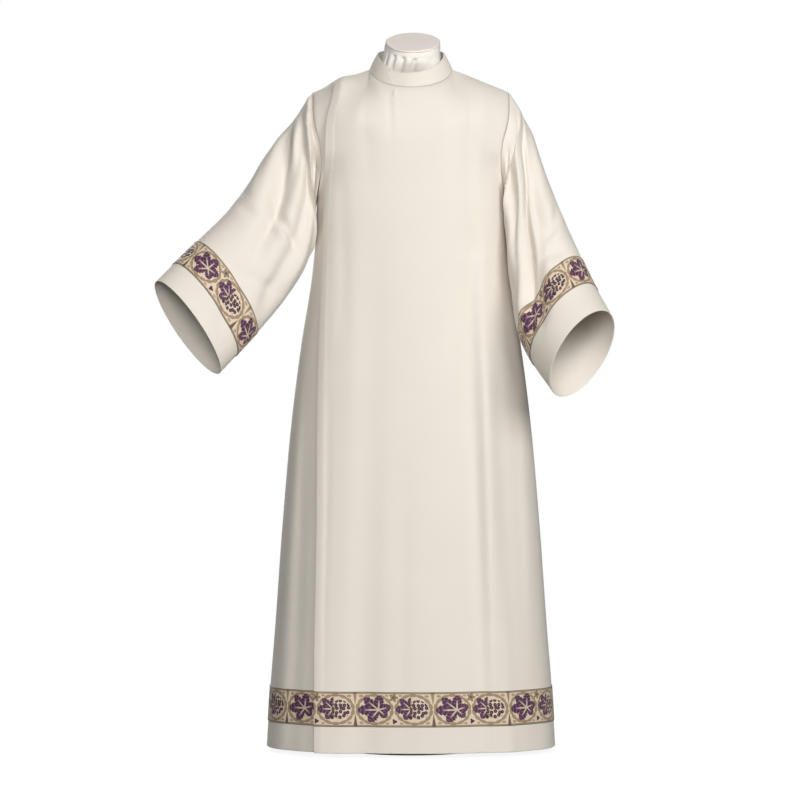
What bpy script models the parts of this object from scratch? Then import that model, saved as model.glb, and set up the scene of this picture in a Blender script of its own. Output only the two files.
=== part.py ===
"""Clergy robe on a limbless dress form.

A wrap-front alb: a front over panel, a front under panel, a back panel, a collar band, two wide
sleeves, each in a front and a back half, and woven bands near the hem and round both cuffs. Each
piece is a thin wall of its own, 0.3 mm from its neighbours at the seams. They hang from the
shoulders of a covered dress form, which stands on a pole and a round base inside the skirt.

Metres, +Z up. The front faces -Y and +X is the viewer's right. The origin is the middle of the
base's underside, on the floor.
"""

import math

import bpy
import numpy as np

# Cloth and seams
CLOTH = 0.0016
BAND_WALL = 0.0011
SEAM = 0.0003

# Heights
HEM_Z = 0.010
BAND_LOW = 0.066
BAND_HIGH = 0.140
UNDERARM_Z = 1.205
TIP_Z = 1.434
NECK_POINT_Z = 1.484
LEVEL_TO_Z = 0.90

# Shoulder and neckline
TIP_X = 0.2135
NECK_X = 0.090
NECK_FRONT = 0.087
NECK_BACK = 0.055
NECK_SLOPE_FRONT = 0.506
NECK_SLOPE_BACK = 0.25
SPLIT_X = 0.115
NECK_SPREAD = 0.060
ROUND_DROP = 0.130
ROUND_SIDE = 0.120

# Armhole
ARMHOLE_FRONT = 0.062
ARMHOLE_BACK = 0.066
EDGE_HOLD = 6

# Laps of the two fronts: how far in the under front lies, and the columns that it takes
LAP = CLOTH + 0.0005
UNDER_OPEN_COLUMNS = 5
UNDER_LAP_COLUMNS = 12
BAND_LAP_COLUMNS = 1
EDGE_LIFT_REACH = 0.055

# Rows and columns of the panels
SKIRT_ROWS = 12
ARMHOLE_ROWS = 12
OVER_COLUMNS = (4, 12, 7)
BACK_COLUMNS = (7, 10, 7)

# Sleeves
SLEEVE_CLEAR = 0.0025
CUFF_PLAIN = 0.072
CUFF_BAND = 0.074
SLEEVE_ROWS = 13
RING_POINTS = 2 * ARMHOLE_ROWS

# Collar
COLLAR_HEIGHT = 0.037
COLLAR_WALL = 0.0018
COLLAR_SEAT = 0.0010
COLLAR_TOP_X = 0.0725
COLLAR_TOP_FRONT = 0.072
COLLAR_TOP_BACK = 0.055
COLLAR_START = math.radians(24)
COLLAR_TURN = math.radians(376)
COLLAR_STEPS = 40
COLLAR_TUCK = 0.0030

# Dress form
FORM_POINTS = 36
FORM_CLEAR = 1.08 * (LAP + CLOTH) + 1.5 * SEAM
SHOULDER_TAPER = 0.5
NECK_TOP = 1.530
NECK_TILT = math.radians(25)
CAP_RADIUS = 0.0583
CAP_THICK = 0.004
CAP_CENTRE = (0.0040, -0.012, 1.5395)
FLUTE_DEPTH = 0.0032
FORM_BOTTOM = 0.860
POLE_RADIUS = 0.0130
HUB_RADIUS = 0.030
HUB_HEIGHT = 0.035
BASE_RADIUS = 0.150
BASE_THICK = 0.012


def table(names, *rows):
    """Named columns of a short table, one array for each name."""
    return dict(zip(names, np.array(rows, dtype=float).T))


# Body of the robe: half width, depth in front and behind, and squareness at each height
BODY = table(
    ("z", "half", "front", "back", "square"),
    (0.000, 0.3155, 0.210, 0.200, 2.30),
    (0.140, 0.3070, 0.200, 0.190, 2.30),
    (0.270, 0.2965, 0.190, 0.180, 2.30),
    (0.480, 0.2815, 0.176, 0.168, 2.30),
    (0.740, 0.2580, 0.158, 0.152, 2.30),
    (0.880, 0.2400, 0.148, 0.142, 2.30),
    (1.040, 0.2150, 0.138, 0.128, 2.35),
    (1.120, 0.2075, 0.134, 0.122, 2.40),
    (1.205, 0.2035, 0.131, 0.117, 2.45),
    (1.230, 0.1990, 0.130, 0.116, 2.45),
    (1.274, 0.1950, 0.129, 0.114, 2.45),
    (1.319, 0.1985, 0.128, 0.113, 2.45),
    (1.364, 0.2080, 0.127, 0.112, 2.45),
    (1.405, 0.2145, 0.126, 0.111, 2.45),
    (1.434, 0.2135, 0.125, 0.110, 2.45),
    (1.500, 0.2135, 0.125, 0.110, 2.45),
)

# Free edge of the over front: how far left it lies, and how far it stands off the under front
FREE_EDGE = table(
    ("z", "x", "lift"),
    (0.000, 0.2085, 0.0200),
    (0.250, 0.2075, 0.0150),
    (0.480, 0.2035, 0.0100),
    (0.770, 0.2020, 0.0060),
    (1.070, 0.1930, 0.0030),
    (1.200, 0.1890, 0.0015),
    (1.320, 0.1840, 0.0010),
    (1.400, 0.1790, 0.0010),
    (1.500, 0.1740, 0.0010),
)

# Soft folds of the panels: place across at the top and at the hem, half width, depth (a trough
# is negative), and the heights between which each one shows
FRONT_FOLDS = table(
    ("top", "hem", "width", "depth", "low", "high"),
    (0.128, 0.168, 0.020, -0.0080, -0.40, 1.25),
    (0.150, 0.215, 0.022, 0.0060, -0.40, 1.00),
    (0.020, 0.030, 0.060, 0.0040, -0.40, 1.10),
    (-0.075, -0.100, 0.030, -0.0035, -0.40, 0.95),
    (-0.120, -0.150, 0.024, 0.0030, -0.40, 0.90),
    (0.196, 0.272, 0.018, -0.0040, -0.40, 0.90),
    (-0.190, -0.262, 0.018, -0.0050, -0.40, 1.00),
)
BACK_FOLDS = table(
    ("top", "hem", "width", "depth", "low", "high"),
    (-0.150, -0.225, 0.024, -0.0080, -0.40, 1.10),
    (-0.075, -0.105, 0.026, -0.0070, -0.40, 1.20),
    (0.000, 0.004, 0.034, 0.0060, -0.40, 1.20),
    (0.070, 0.098, 0.024, -0.0080, -0.40, 1.15),
    (0.145, 0.215, 0.026, -0.0070, -0.40, 1.05),
)

# Sleeve sections from armhole to cuff: the upper and the lower fold line, and the half depth
SLEEVE_NAMES = ("top_x", "top_y", "top_z", "low_x", "low_y", "low_z", "depth")
RIGHT_SLEEVE = table(
    SLEEVE_NAMES,
    (0.2138, 0.000, 1.434, 0.2040, 0.000, 1.205, 0.064),
    (0.2480, -0.002, 1.376, 0.2110, -0.010, 1.160, 0.066),
    (0.2680, -0.010, 1.324, 0.2130, -0.024, 1.108, 0.068),
    (0.2920, -0.024, 1.252, 0.2150, -0.044, 1.052, 0.070),
    (0.3210, -0.048, 1.180, 0.2200, -0.072, 0.990, 0.072),
    (0.3570, -0.078, 1.096, 0.2290, -0.104, 0.916, 0.075),
    (0.3940, -0.122, 1.014, 0.2580, -0.150, 0.848, 0.080),
    (0.4270, -0.182, 0.948, 0.3030, -0.212, 0.780, 0.083),
)
LEFT_SLEEVE = table(
    SLEEVE_NAMES,
    (0.2138, 0.000, 1.434, 0.2040, 0.000, 1.205, 0.064),
    (0.2690, -0.004, 1.362, 0.2110, -0.010, 1.155, 0.066),
    (0.3080, -0.016, 1.300, 0.2140, -0.022, 1.104, 0.070),
    (0.3540, -0.036, 1.232, 0.2340, -0.042, 1.044, 0.073),
    (0.4020, -0.062, 1.168, 0.2760, -0.072, 0.978, 0.073),
    (0.4570, -0.094, 1.112, 0.3260, -0.106, 0.916, 0.071),
    (0.5080, -0.128, 1.060, 0.3720, -0.140, 0.864, 0.068),
    (0.5480, -0.156, 1.018, 0.4100, -0.168, 0.822, 0.066),
)

# Sleeve folds: place round the ring as a share of a turn (0 under, 0.25 front, 0.5 top, 0.75 back)
# at their start and end, half width, depth, and the shares of the length where each one shows
RIGHT_SLEEVE_FOLDS = table(
    ("start", "end", "width", "depth", "low", "high"),
    (0.27, 0.20, 0.040, -0.0120, 0.20, 0.78),
    (0.19, 0.12, 0.030, 0.0060, 0.12, 0.70),
    (0.40, 0.32, 0.035, -0.0070, 0.30, 0.72),
    (0.45, 0.44, 0.050, 0.0050, 0.05, 0.40),
    (0.66, 0.72, 0.035, -0.0100, 0.12, 0.72),
    (0.80, 0.86, 0.035, -0.0070, 0.10, 0.66),
)
LEFT_SLEEVE_FOLDS = table(
    ("start", "end", "width", "depth", "low", "high"),
    (0.24, 0.06, 0.040, -0.0120, 0.12, 0.62),
    (0.33, 0.22, 0.035, -0.0100, 0.05, 0.52),
    (0.18, 0.02, 0.030, 0.0070, 0.10, 0.45),
    (0.40, 0.16, 0.040, -0.0060, 0.46, 0.86),
    (0.68, 0.80, 0.040, -0.0100, 0.12, 0.68),
    (0.82, 0.92, 0.035, -0.0070, 0.10, 0.60),
)

# Dress form below the shoulders: half width, depth in front and behind
TORSO = table(
    ("z", "half", "front", "back"),
    (0.860, 0.150, 0.098, 0.104),
    (0.905, 0.166, 0.108, 0.112),
    (1.000, 0.146, 0.096, 0.096),
    (1.080, 0.136, 0.094, 0.088),
    (1.180, 0.150, 0.106, 0.090),
    (1.280, 0.164, 0.112, 0.092),
    (1.360, 0.176, 0.106, 0.090),
    (1.400, 0.178, 0.088, 0.077),
    (1.425, 0.176, 0.070, 0.062),
    (1.440, 0.176, 0.056, 0.050),
    (1.450, 0.168, 0.042, 0.039),
    (1.460, 0.124, 0.034, 0.033),
    (1.468, 0.086, 0.035, 0.033),
    (1.476, 0.074, 0.041, 0.035),
    (1.484, 0.067, 0.048, 0.037),
    (1.498, 0.0635, 0.0560, 0.0395),
    (1.510, 0.0610, 0.0590, 0.0395),
    (1.522, 0.0600, 0.0620, 0.0400),
    (1.534, 0.0595, 0.0635, 0.0405),
)


def curve(tab, name, at, key="z"):
    """Smooth reading of a table's column: a cubic through its rows, with slopes from neighbours."""
    xs, ys = tab[key], tab[name]
    slopes = np.gradient(ys, xs)
    at = np.clip(at, xs[0], xs[-1])
    i = np.clip(np.searchsorted(xs, at) - 1, 0, len(xs) - 2)
    span = xs[i + 1] - xs[i]
    t = (at - xs[i]) / span
    return (
        (1 + 2 * t) * (1 - t) ** 2 * ys[i]
        + t * (1 - t) ** 2 * span * slopes[i]
        + t * t * (3 - 2 * t) * ys[i + 1]
        + t * t * (t - 1) * span * slopes[i + 1]
    )


def ease(t):
    """Smooth step from 0 to 1."""
    t = np.clip(t, 0.0, 1.0)
    return t * t * (3 - 2 * t)


def window(t, low, high, soft):
    """1 between low and high, with soft ends outside them."""
    return ease((t - low) / soft + 1) * ease((high - t) / soft + 1)


def rounding(drop, power=0.5):
    """Quarter-ellipse rounding below a top edge: 0 at the edge, 1 from ROUND_DROP down."""
    t = np.clip(drop / ROUND_DROP, 0.0, 1.0)
    return (1 - (1 - t) ** 2) ** power


def side_width(z):
    """Half width of the body at the side seam and along the armhole."""
    return TIP_X + (curve(BODY, "half", z) - TIP_X) * ease((TIP_Z - z) / ROUND_SIDE)


def armhole_depth(z, widest):
    """Half depth of the armhole ellipse at a height, and 0 below the underarm."""
    middle = (TIP_Z + UNDERARM_Z) / 2
    reach = (TIP_Z - UNDERARM_Z) / 2
    inside = np.clip(1 - ((z - middle) / reach) ** 2, 0.0, 1.0)
    return np.where(z > UNDERARM_Z, widest * np.sqrt(inside), 0.0)


def top_edge(x_plain, face):
    """Point of the shoulder line or neckline for a plain place across; face is -1 front, 1 back."""
    side = np.sign(x_plain)
    reach = np.abs(x_plain)
    along = np.clip((reach - SPLIT_X) / (TIP_X - SPLIT_X), 0.0, 1.0)
    turn = np.clip(reach / SPLIT_X, 0.0, 1.0) * math.pi / 2
    on_neck = reach < SPLIT_X
    depth = NECK_FRONT if face < 0 else NECK_BACK
    slope = -NECK_SLOPE_FRONT if face < 0 else NECK_SLOPE_BACK
    x = np.where(on_neck, NECK_X * np.sin(turn), NECK_X + (TIP_X - NECK_X) * along)
    y = np.where(on_neck, depth * np.cos(turn), 0.0)
    z = np.where(on_neck, NECK_POINT_Z + slope * y, NECK_POINT_Z + (TIP_Z - NECK_POINT_Z) * along)
    return x * side, y * face, z


def top_softness(top_x, top_y):
    """Rounding power along the top edge: quick at the shoulder tip, sloping beside the neck."""
    beside = 1 - np.clip((np.abs(top_x) - NECK_X) / NECK_SPREAD, 0.0, 1.0)
    middle = np.clip(np.abs(top_y) / NECK_BACK, 0.0, 1.0)
    return 0.5 + 0.6 * beside * (1 - 0.6 * middle)


def folds_at(folds, across, height):
    """Sum of the panel folds' offsets at places across and heights."""
    total = np.zeros(np.broadcast(across, height).shape)
    for top, hem, width, depth, low, high in zip(*folds.values()):
        share = np.clip(height / UNDERARM_Z, 0.0, 1.0)
        middle = hem + (top - hem) * share
        strength = window(height, low, high, 0.35) * (1 - 0.55 * share)
        total += depth * strength * np.exp(-(((across - middle) / width) ** 2))
    return total


def plain_x(angle, z):
    """Place across of a section angle (a quarter turn either way reaches the sides)."""
    power = 2 / curve(BODY, "square", z)
    return np.sign(angle) * curve(BODY, "half", z) * np.abs(np.sin(angle)) ** power


def angle_of(x, z):
    """Section angle of a place across, the inverse of plain_x."""
    share = np.clip(np.abs(x) / curve(BODY, "half", z), 0.0, 1.0)
    return np.sign(x) * np.arcsin(share ** (curve(BODY, "square", z) / 2))


def body_surface(angle, row_z, face, folds):
    """Outer face of the robe's body at section angles and row heights."""
    top_x, top_y, top_z = top_edge(plain_x(angle, TIP_Z), face)
    rise = np.clip((row_z - LEVEL_TO_Z) / (TIP_Z - LEVEL_TO_Z), 0.0, 1.0)
    z = row_z + (top_z - TIP_Z) * rise**2
    body = curve(BODY, "front" if face < 0 else "back", z)
    edge = armhole_depth(z, ARMHOLE_FRONT if face < 0 else ARMHOLE_BACK)
    power = 2 / curve(BODY, "square", z)
    x = plain_x(angle, z)
    bow = np.abs(np.cos(angle)) ** power
    y = face * (body * bow + edge * (1 - bow) * np.abs(np.sin(angle)) ** EDGE_HOLD)
    y = y + face * folds_at(folds, x, z) * np.abs(np.cos(angle)) ** 0.5
    drop = top_z - z
    y = top_y + (y - top_y) * rounding(drop, top_softness(top_x, top_y))
    x = top_x + (x - top_x) * ease(drop / ROUND_SIDE)
    return np.stack([x, y, z], axis=-1)


def row_heights():
    """Heights of the panels' rows at the sides: level at the hem band, closer at the shoulder."""
    hem = [HEM_Z, BAND_LOW, (BAND_LOW + BAND_HIGH) / 2]
    skirt = np.linspace(BAND_HIGH, UNDERARM_Z, SKIRT_ROWS)
    turn = np.linspace(0, math.pi, ARMHOLE_ROWS + 1)[1:]
    armhole = UNDERARM_Z + (TIP_Z - UNDERARM_Z) * (1 - np.cos(turn)) / 2
    return np.concatenate([hem, skirt, armhole])


def columns(start, end, counts):
    """Section angles at the shoulder row, with columns exactly at the neck points."""
    split = angle_of(np.array(SPLIT_X), np.array(TIP_Z))
    stops = [start] + [s for s in (-split, split) if start < s < end] + [end]
    spans = [np.linspace(a, b, n + 1)[:-1] for a, b, n in zip(stops, stops[1:], counts)]
    return np.concatenate(spans + [[end]])


def normals(points):
    """Unit normals of a grid of points, from the differences along both ways."""
    across = np.gradient(points, axis=1)
    along = np.gradient(points, axis=0)
    n = np.cross(across, along)
    n /= np.linalg.norm(n, axis=-1, keepdims=True)
    n[1:-1] = (n[:-2] + 2 * n[1:-1] + n[2:]) / 4
    n[:, 1:-1] = (n[:, :-2] + 2 * n[:, 1:-1] + n[:, 2:]) / 4
    return n / np.linalg.norm(n, axis=-1, keepdims=True)


def ring_normals(points):
    """Unit normals of a grid whose columns close on themselves."""
    wide = np.concatenate([points[:, -2:], points, points[:, :2]], axis=1)
    return normals(wide)[:, 2:-2]


def face_out(n, points, middle):
    """Turns a whole field of normals so that it points away from a middle point."""
    return n if np.sum(n * (points - middle)) > 0 else -n


def wall(outer, inner, closed):
    """Vertices and faces of a closed wall between two grids; closed joins last column to first."""
    rows, cols = outer.shape[:2]
    verts = np.concatenate([outer.reshape(-1, 3), inner.reshape(-1, 3)])
    index = np.arange(rows * cols).reshape(rows, cols)
    if closed:
        index = np.concatenate([index, index[:, :1]], axis=1)
    back = index + rows * cols
    faces = []
    for r in range(rows - 1):
        for c in range(index.shape[1] - 1):
            faces.append((index[r, c], index[r, c + 1], index[r + 1, c + 1], index[r + 1, c]))
            faces.append((back[r, c], back[r + 1, c], back[r + 1, c + 1], back[r, c + 1]))
    for c in range(index.shape[1] - 1):
        faces.append((index[0, c + 1], index[0, c], back[0, c], back[0, c + 1]))
        faces.append((index[-1, c], index[-1, c + 1], back[-1, c + 1], back[-1, c]))
    if not closed:
        for r in range(rows - 1):
            faces.append((index[r, 0], index[r + 1, 0], back[r + 1, 0], back[r, 0]))
            faces.append((index[r + 1, -1], index[r, -1], back[r, -1], back[r + 1, -1]))
    return verts, [tuple(int(i) for i in face) for face in faces]


def split_quads(faces):
    """Cuts every quad along its first diagonal, so that stacked pieces are cut alike."""
    cut = []
    for face in faces:
        if len(face) == 4:
            cut += [(face[0], face[1], face[2]), (face[0], face[2], face[3])]
        else:
            cut.append(face)
    return cut


def signed_volume(verts, triangles):
    """Volume inside the triangles, negative where they face inwards."""
    a, b, c = (verts[[t[i] for t in triangles]] for i in range(3))
    return float(np.sum(a * np.cross(b, c))) / 6


def make_object(name, verts, faces, material, sharp=60):
    """Object of one closed body, with its faces turned outwards."""
    triangles = split_quads(faces)
    if signed_volume(verts, triangles) < 0:
        triangles = [face[::-1] for face in triangles]
    mesh = bpy.data.meshes.new(name)
    mesh.from_pydata(verts.tolist(), [], triangles)
    mesh.validate()
    mesh.shade_smooth()
    mesh.set_sharp_from_angle(angle=math.radians(sharp))
    mesh.materials.append(material)
    obj = bpy.data.objects.new(name, mesh)
    bpy.context.scene.collection.objects.link(obj)
    return obj


def make_material(name, colour, roughness, metallic=0.0):
    """Plain Principled material."""
    material = bpy.data.materials.new(name)
    material.use_nodes = True
    shader = material.node_tree.nodes["Principled BSDF"]
    shader.inputs["Base Color"].default_value = (*colour, 1.0)
    shader.inputs["Roughness"].default_value = roughness
    shader.inputs["Metallic"].default_value = metallic
    return material


def angle_grid(start, end, cols):
    """Section angles of a panel's rows and columns, from edges that move with the height."""
    share = (cols - cols[0]) / (cols[-1] - cols[0])
    return start[:, None] + (end - start)[:, None] * share[None, :]


def free_edge_angle():
    """Section angle of the over front's free edge on every row."""
    rows = row_heights()
    return -angle_of(curve(FREE_EDGE, "x", rows), rows)


def over_angles():
    """Section angles of the over front, from its free edge to the right side seam."""
    start = free_edge_angle()
    side = np.full(start.shape, math.pi / 2)
    return angle_grid(start, side, columns(start[-1], math.pi / 2, OVER_COLUMNS))


class Panel:
    """One panel of the body: its outer points, and normals that stay inside its seams."""

    def __init__(self, angles, face, folds):
        self.face = face
        self.points = body_surface(angles, row_heights()[:, None] + 0 * angles, face, folds)
        self.on_shoulder = np.abs(self.points[-1, :, 1]) < 1e-9
        self.refresh()

    def refresh(self):
        """Works the normals out again, upright along the shoulder seam."""
        n = face_out(normals(self.points), self.points, np.array([0.0, 0.0, 0.9]))
        n[-1, :, 1] = np.where(self.on_shoulder, 0.0, n[-1, :, 1])
        self.normals = n / np.linalg.norm(n, axis=-1, keepdims=True)

    def flatten_side(self, column):
        """Keeps one side seam's wall square to the side."""
        self.normals[:, column, 1] = 0.0
        self.normals /= np.linalg.norm(self.normals, axis=-1, keepdims=True)

    def open_seam(self):
        """Moves the whole panel half a seam's gap away from the other face."""
        self.points[..., 1] += self.face * SEAM / 2

    def wall(self):
        """The panel's cloth, from its outer points inwards."""
        return wall(self.points, self.points - CLOTH * self.normals, closed=False)

    def band(self, last_column=None):
        """The woven band on the panel's band rows, moved out from the same points."""
        points = self.points[1:4, :last_column]
        n = self.normals[1:4, :last_column]
        return wall(points + (SEAM + BAND_WALL) * n, points + SEAM * n, closed=False)


def over_front():
    """Front over panel: free edge at the viewer's left to the right side seam."""
    panel = Panel(over_angles(), -1, FRONT_FOLDS)
    x, z = panel.points[..., 0], panel.points[..., 2]
    near = np.exp(-(((x + curve(FREE_EDGE, "x", z)) / EDGE_LIFT_REACH) ** 2))
    panel.points[..., 1] -= curve(FREE_EDGE, "lift", z) * near
    panel.refresh()
    panel.flatten_side(-1)
    panel.open_seam()
    return panel


def under_front():
    """Front under panel: left side seam to its inner edge, one lap behind the over panel."""
    edge = free_edge_angle()
    share = np.linspace(0, 1, UNDER_OPEN_COLUMNS + 1)[:-1]
    open_part = -math.pi / 2 + (edge + math.pi / 2)[:, None] * share[None, :]
    angles = np.concatenate([open_part, over_angles()[:, :UNDER_LAP_COLUMNS]], axis=1)
    panel = Panel(angles, -1, FRONT_FOLDS)
    panel.flatten_side(0)
    lap = LAP * ease((angles + math.pi / 2) / (edge + math.pi / 2)[:, None])
    panel.points -= panel.normals * lap[..., None]
    panel.refresh()
    panel.flatten_side(0)
    panel.open_seam()
    return panel


def back():
    """Back panel, from side seam to side seam."""
    cols = columns(-math.pi / 2, math.pi / 2, BACK_COLUMNS)
    side = np.full(row_heights().shape, math.pi / 2)
    panel = Panel(angle_grid(-side, side, cols), 1, BACK_FOLDS)
    panel.flatten_side(0)
    panel.flatten_side(-1)
    panel.open_seam()
    return panel


def side_reach(y, z):
    """How far the robe's body reaches sideways at a depth and a height."""
    edge = np.where(y < 0, armhole_depth(z, ARMHOLE_FRONT), armhole_depth(z, ARMHOLE_BACK))
    body = np.where(y < 0, curve(BODY, "front", z) + 0.006, curve(BODY, "back", z) + 0.004)
    q = np.clip((np.abs(y) - edge) / (body - edge), 0.0, 1.0)
    square = curve(BODY, "square", z)
    return side_width(z) * (1 - q**square) ** (1 / square)


def armhole_ring(turn):
    """The armhole's loop at shares of a turn: 0 under, 0.25 front, 0.5 top, 0.75 back."""
    middle = (TIP_Z + UNDERARM_Z) / 2
    reach = (TIP_Z - UNDERARM_Z) / 2
    z = middle - reach * np.cos(turn * 2 * math.pi)
    front = np.sin(turn * 2 * math.pi) > 0
    depth = armhole_depth(z, 1.0) * np.where(front, ARMHOLE_FRONT, ARMHOLE_BACK)
    y = np.where(front, -1, 1) * depth * rounding(TIP_Z - z)
    return np.stack([side_width(z), y, z], axis=-1)


def sleeve_rows(length):
    """Shares of the sleeve's length, with rows exactly at the band's two edges."""
    cuff = 1 - CUFF_PLAIN / length
    band = 1 - (CUFF_PLAIN + CUFF_BAND) / length
    upper = np.linspace(0, band, SLEEVE_ROWS)
    return np.concatenate([[0.0, 0.02], upper[1:], [(band + cuff) / 2, cuff, (1 + cuff) / 2, 1.0]])


def sleeve_points(tab, folds, turns, shares):
    """Outer points of a sleeve on the +X side at turns round and shares of its length."""
    knots = {name: column for name, column in tab.items()}
    knots["s"] = np.linspace(0, 1, len(tab["depth"]))
    read = {name: curve(knots, name, shares, key="s") for name in SLEEVE_NAMES}
    top = np.stack([read["top_x"], read["top_y"], read["top_z"]], axis=-1)
    low = np.stack([read["low_x"], read["low_y"], read["low_z"]], axis=-1)
    centre = (top + low) / 2
    axis = np.gradient(centre, shares, axis=0)
    across = np.cross(top - low, axis)
    across /= np.linalg.norm(across, axis=-1, keepdims=True)
    across *= np.where(across[:, 1:2] > 0, -1, 1)
    angle = turns * 2 * math.pi
    swell = np.zeros((len(shares), len(turns)))
    for start, end, width, depth, first, last in zip(*folds.values()):
        middle = start + (end - start) * shares
        away = (turns[None, :] - middle[:, None] + 0.5) % 1.0 - 0.5
        strength = window(shares, first, last, 0.14)
        swell += depth * strength[:, None] * np.exp(-((away / width) ** 2))
    along = -np.cos(angle)[None, :, None] * ((top - low) / 2)[:, None, :]
    side = np.sin(angle)[None, :, None] * (across * read["depth"][:, None])[:, None, :]
    points = centre[:, None, :] + along + side
    out = points - centre[:, None, :]
    out /= np.linalg.norm(out, axis=-1, keepdims=True)
    points = points + out * swell[..., None]
    loop = armhole_ring(turns)
    mix = ease(1 - shares / 0.22)[:, None, None]
    start_loop = points[0]
    points = points + mix * (loop - start_loop)[None, :, :]
    gap = SEAM + (SLEEVE_CLEAR - SEAM) * np.clip(shares / 0.02, 0, 1)[:, None]
    points[..., 0] = np.maximum(points[..., 0], side_reach(points[..., 1], points[..., 2]) + gap)
    return points


class Sleeve:
    """A wide open sleeve in two halves; side is 1 at the viewer's right, -1 at the left."""

    def __init__(self, tab, folds, side):
        length = float(np.linalg.norm([tab[n][-1] - tab[n][0] for n in SLEEVE_NAMES[:3]]))
        self.shares = sleeve_rows(length)
        turns = np.arange(RING_POINTS) / RING_POINTS
        self.points = sleeve_points(tab, folds, turns, self.shares)
        self.points[..., 0] *= side
        middle = self.points.mean(axis=1, keepdims=True)
        self.normals = face_out(ring_normals(self.points), self.points, middle)
        self.normals[0, :, 0] = 0.0
        self.normals /= np.linalg.norm(self.normals, axis=-1, keepdims=True)

    def half(self, first, last):
        """The cloth between two columns of the ring, opened by half a seam's gap at both ends."""
        around = np.arange(first, last + 1) % RING_POINTS
        points, n = self.points[:, around], self.normals[:, around]
        for edge, beside in ((0, 1), (-1, -2)):
            inwards = points[:, beside] - points[:, edge]
            inwards /= np.linalg.norm(inwards, axis=-1, keepdims=True)
            points[:, edge] += SEAM / 2 * inwards
        return wall(points, points - CLOTH * n, closed=False)

    def band(self):
        """The woven band round the cuff, on the sleeve's band rows."""
        rows = slice(len(self.shares) - 5, len(self.shares) - 2)
        points, n = self.points[rows], self.normals[rows]
        return wall(points + (SEAM + BAND_WALL) * n, points + SEAM * n, closed=True)


def collar_band():
    """Stand-up collar: a band from its over end at the left front, once round, and tucked under."""
    share = np.linspace(0, 1, COLLAR_STEPS)
    turn = COLLAR_START + COLLAR_TURN * share
    tuck = COLLAR_TUCK * ease((share - 0.88) / 0.10)
    x = -np.sin(turn)
    y = -np.cos(turn)
    front = y < 0
    low_y = y * np.where(front, NECK_FRONT, NECK_BACK)
    low_z = NECK_POINT_Z + low_y * np.where(front, NECK_SLOPE_FRONT, NECK_SLOPE_BACK)
    low = np.stack([x * NECK_X, low_y, low_z + COLLAR_SEAT], axis=-1)
    high_y = y * np.where(front, COLLAR_TOP_FRONT, COLLAR_TOP_BACK)
    high = np.stack([x * COLLAR_TOP_X, high_y, low_z + COLLAR_HEIGHT], axis=-1)
    rows = np.linspace(0, 1, 4)[:, None, None]
    points = low + (high - low) * rows
    n = face_out(normals(points), points, np.array([0.0, 0.0, 1.49]))
    n[0, :, 2] = 0.0
    n /= np.linalg.norm(n, axis=-1, keepdims=True)
    points = points - n * tuck[None, :, None]
    return wall(points, points - COLLAR_WALL * n, closed=False)


def form_section(z, turns):
    """Outline of the dress form at a height: inside the robe's shoulder line and neckline."""
    slope = (NECK_POINT_Z - TIP_Z) / (TIP_X - NECK_X)
    reach = NECK_X + (NECK_POINT_Z - FORM_CLEAR - z) / slope
    half = float(curve(TORSO, "half", z))
    width = max(min(half, reach), min(half, 0.080))
    angle = turns * 2 * math.pi
    x = width * np.sin(angle)
    y = -np.cos(angle)
    depth = np.where(y < 0, curve(TORSO, "front", z), curve(TORSO, "back", z))
    flat = np.sign(y) * np.abs(y) ** 0.85
    taper = 1 - SHOULDER_TAPER * ease((np.abs(x) - 0.07) / 0.11) * ease((z - 1.36) / 0.06)
    return np.stack([x, flat * depth * taper, np.full(turns.shape, z)], axis=-1)


def torso():
    """Covered torso and neck of the dress form, closed at the bottom and under the cap."""
    turns = np.arange(FORM_POINTS) / FORM_POINTS
    heights = np.concatenate([np.linspace(FORM_BOTTOM, 1.40, 11), [1.42, 1.436, 1.449, 1.460, 1.469],
                              [1.477, 1.485, 1.494, 1.503, 1.512, 1.521, NECK_TOP]])
    rings = np.array([form_section(z, turns) for z in heights])
    top = np.array(CAP_CENTRE)
    upper = ease((heights - 1.470) / (heights[-1] - 1.470))[:, None]
    rings[..., 0] += upper * top[0]
    rings[..., 2] += upper * np.tan(NECK_TILT) * (rings[..., 1] - top[1])
    rings[..., 2] += upper * (top[2] - 1.5 * SEAM - heights[-1])
    flutes = FLUTE_DEPTH * window(heights, 1.500, 1.518, 0.012)[:, None]
    radial = rings - rings.mean(axis=1, keepdims=True)
    radial /= np.linalg.norm(radial, axis=-1, keepdims=True)
    gathers = np.abs(np.sin(turns * 11 * math.pi + 0.4)) - 0.6
    rings += radial * (flutes * gathers)[..., None]
    verts = rings.reshape(-1, 3)
    faces = []
    rows, cols = rings.shape[:2]
    for r in range(rows - 1):
        for c in range(cols):
            d = (c + 1) % cols
            faces.append((r * cols + c, r * cols + d, (r + 1) * cols + d, (r + 1) * cols + c))
    verts = np.concatenate([verts, rings[0].mean(axis=0)[None], rings[-1].mean(axis=0)[None]])
    low, high = rows * cols, rows * cols + 1
    for c in range(cols):
        d = (c + 1) % cols
        faces.append((low, d, c))
        faces.append((high, (rows - 1) * cols + c, (rows - 1) * cols + d))
    return verts, faces


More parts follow.
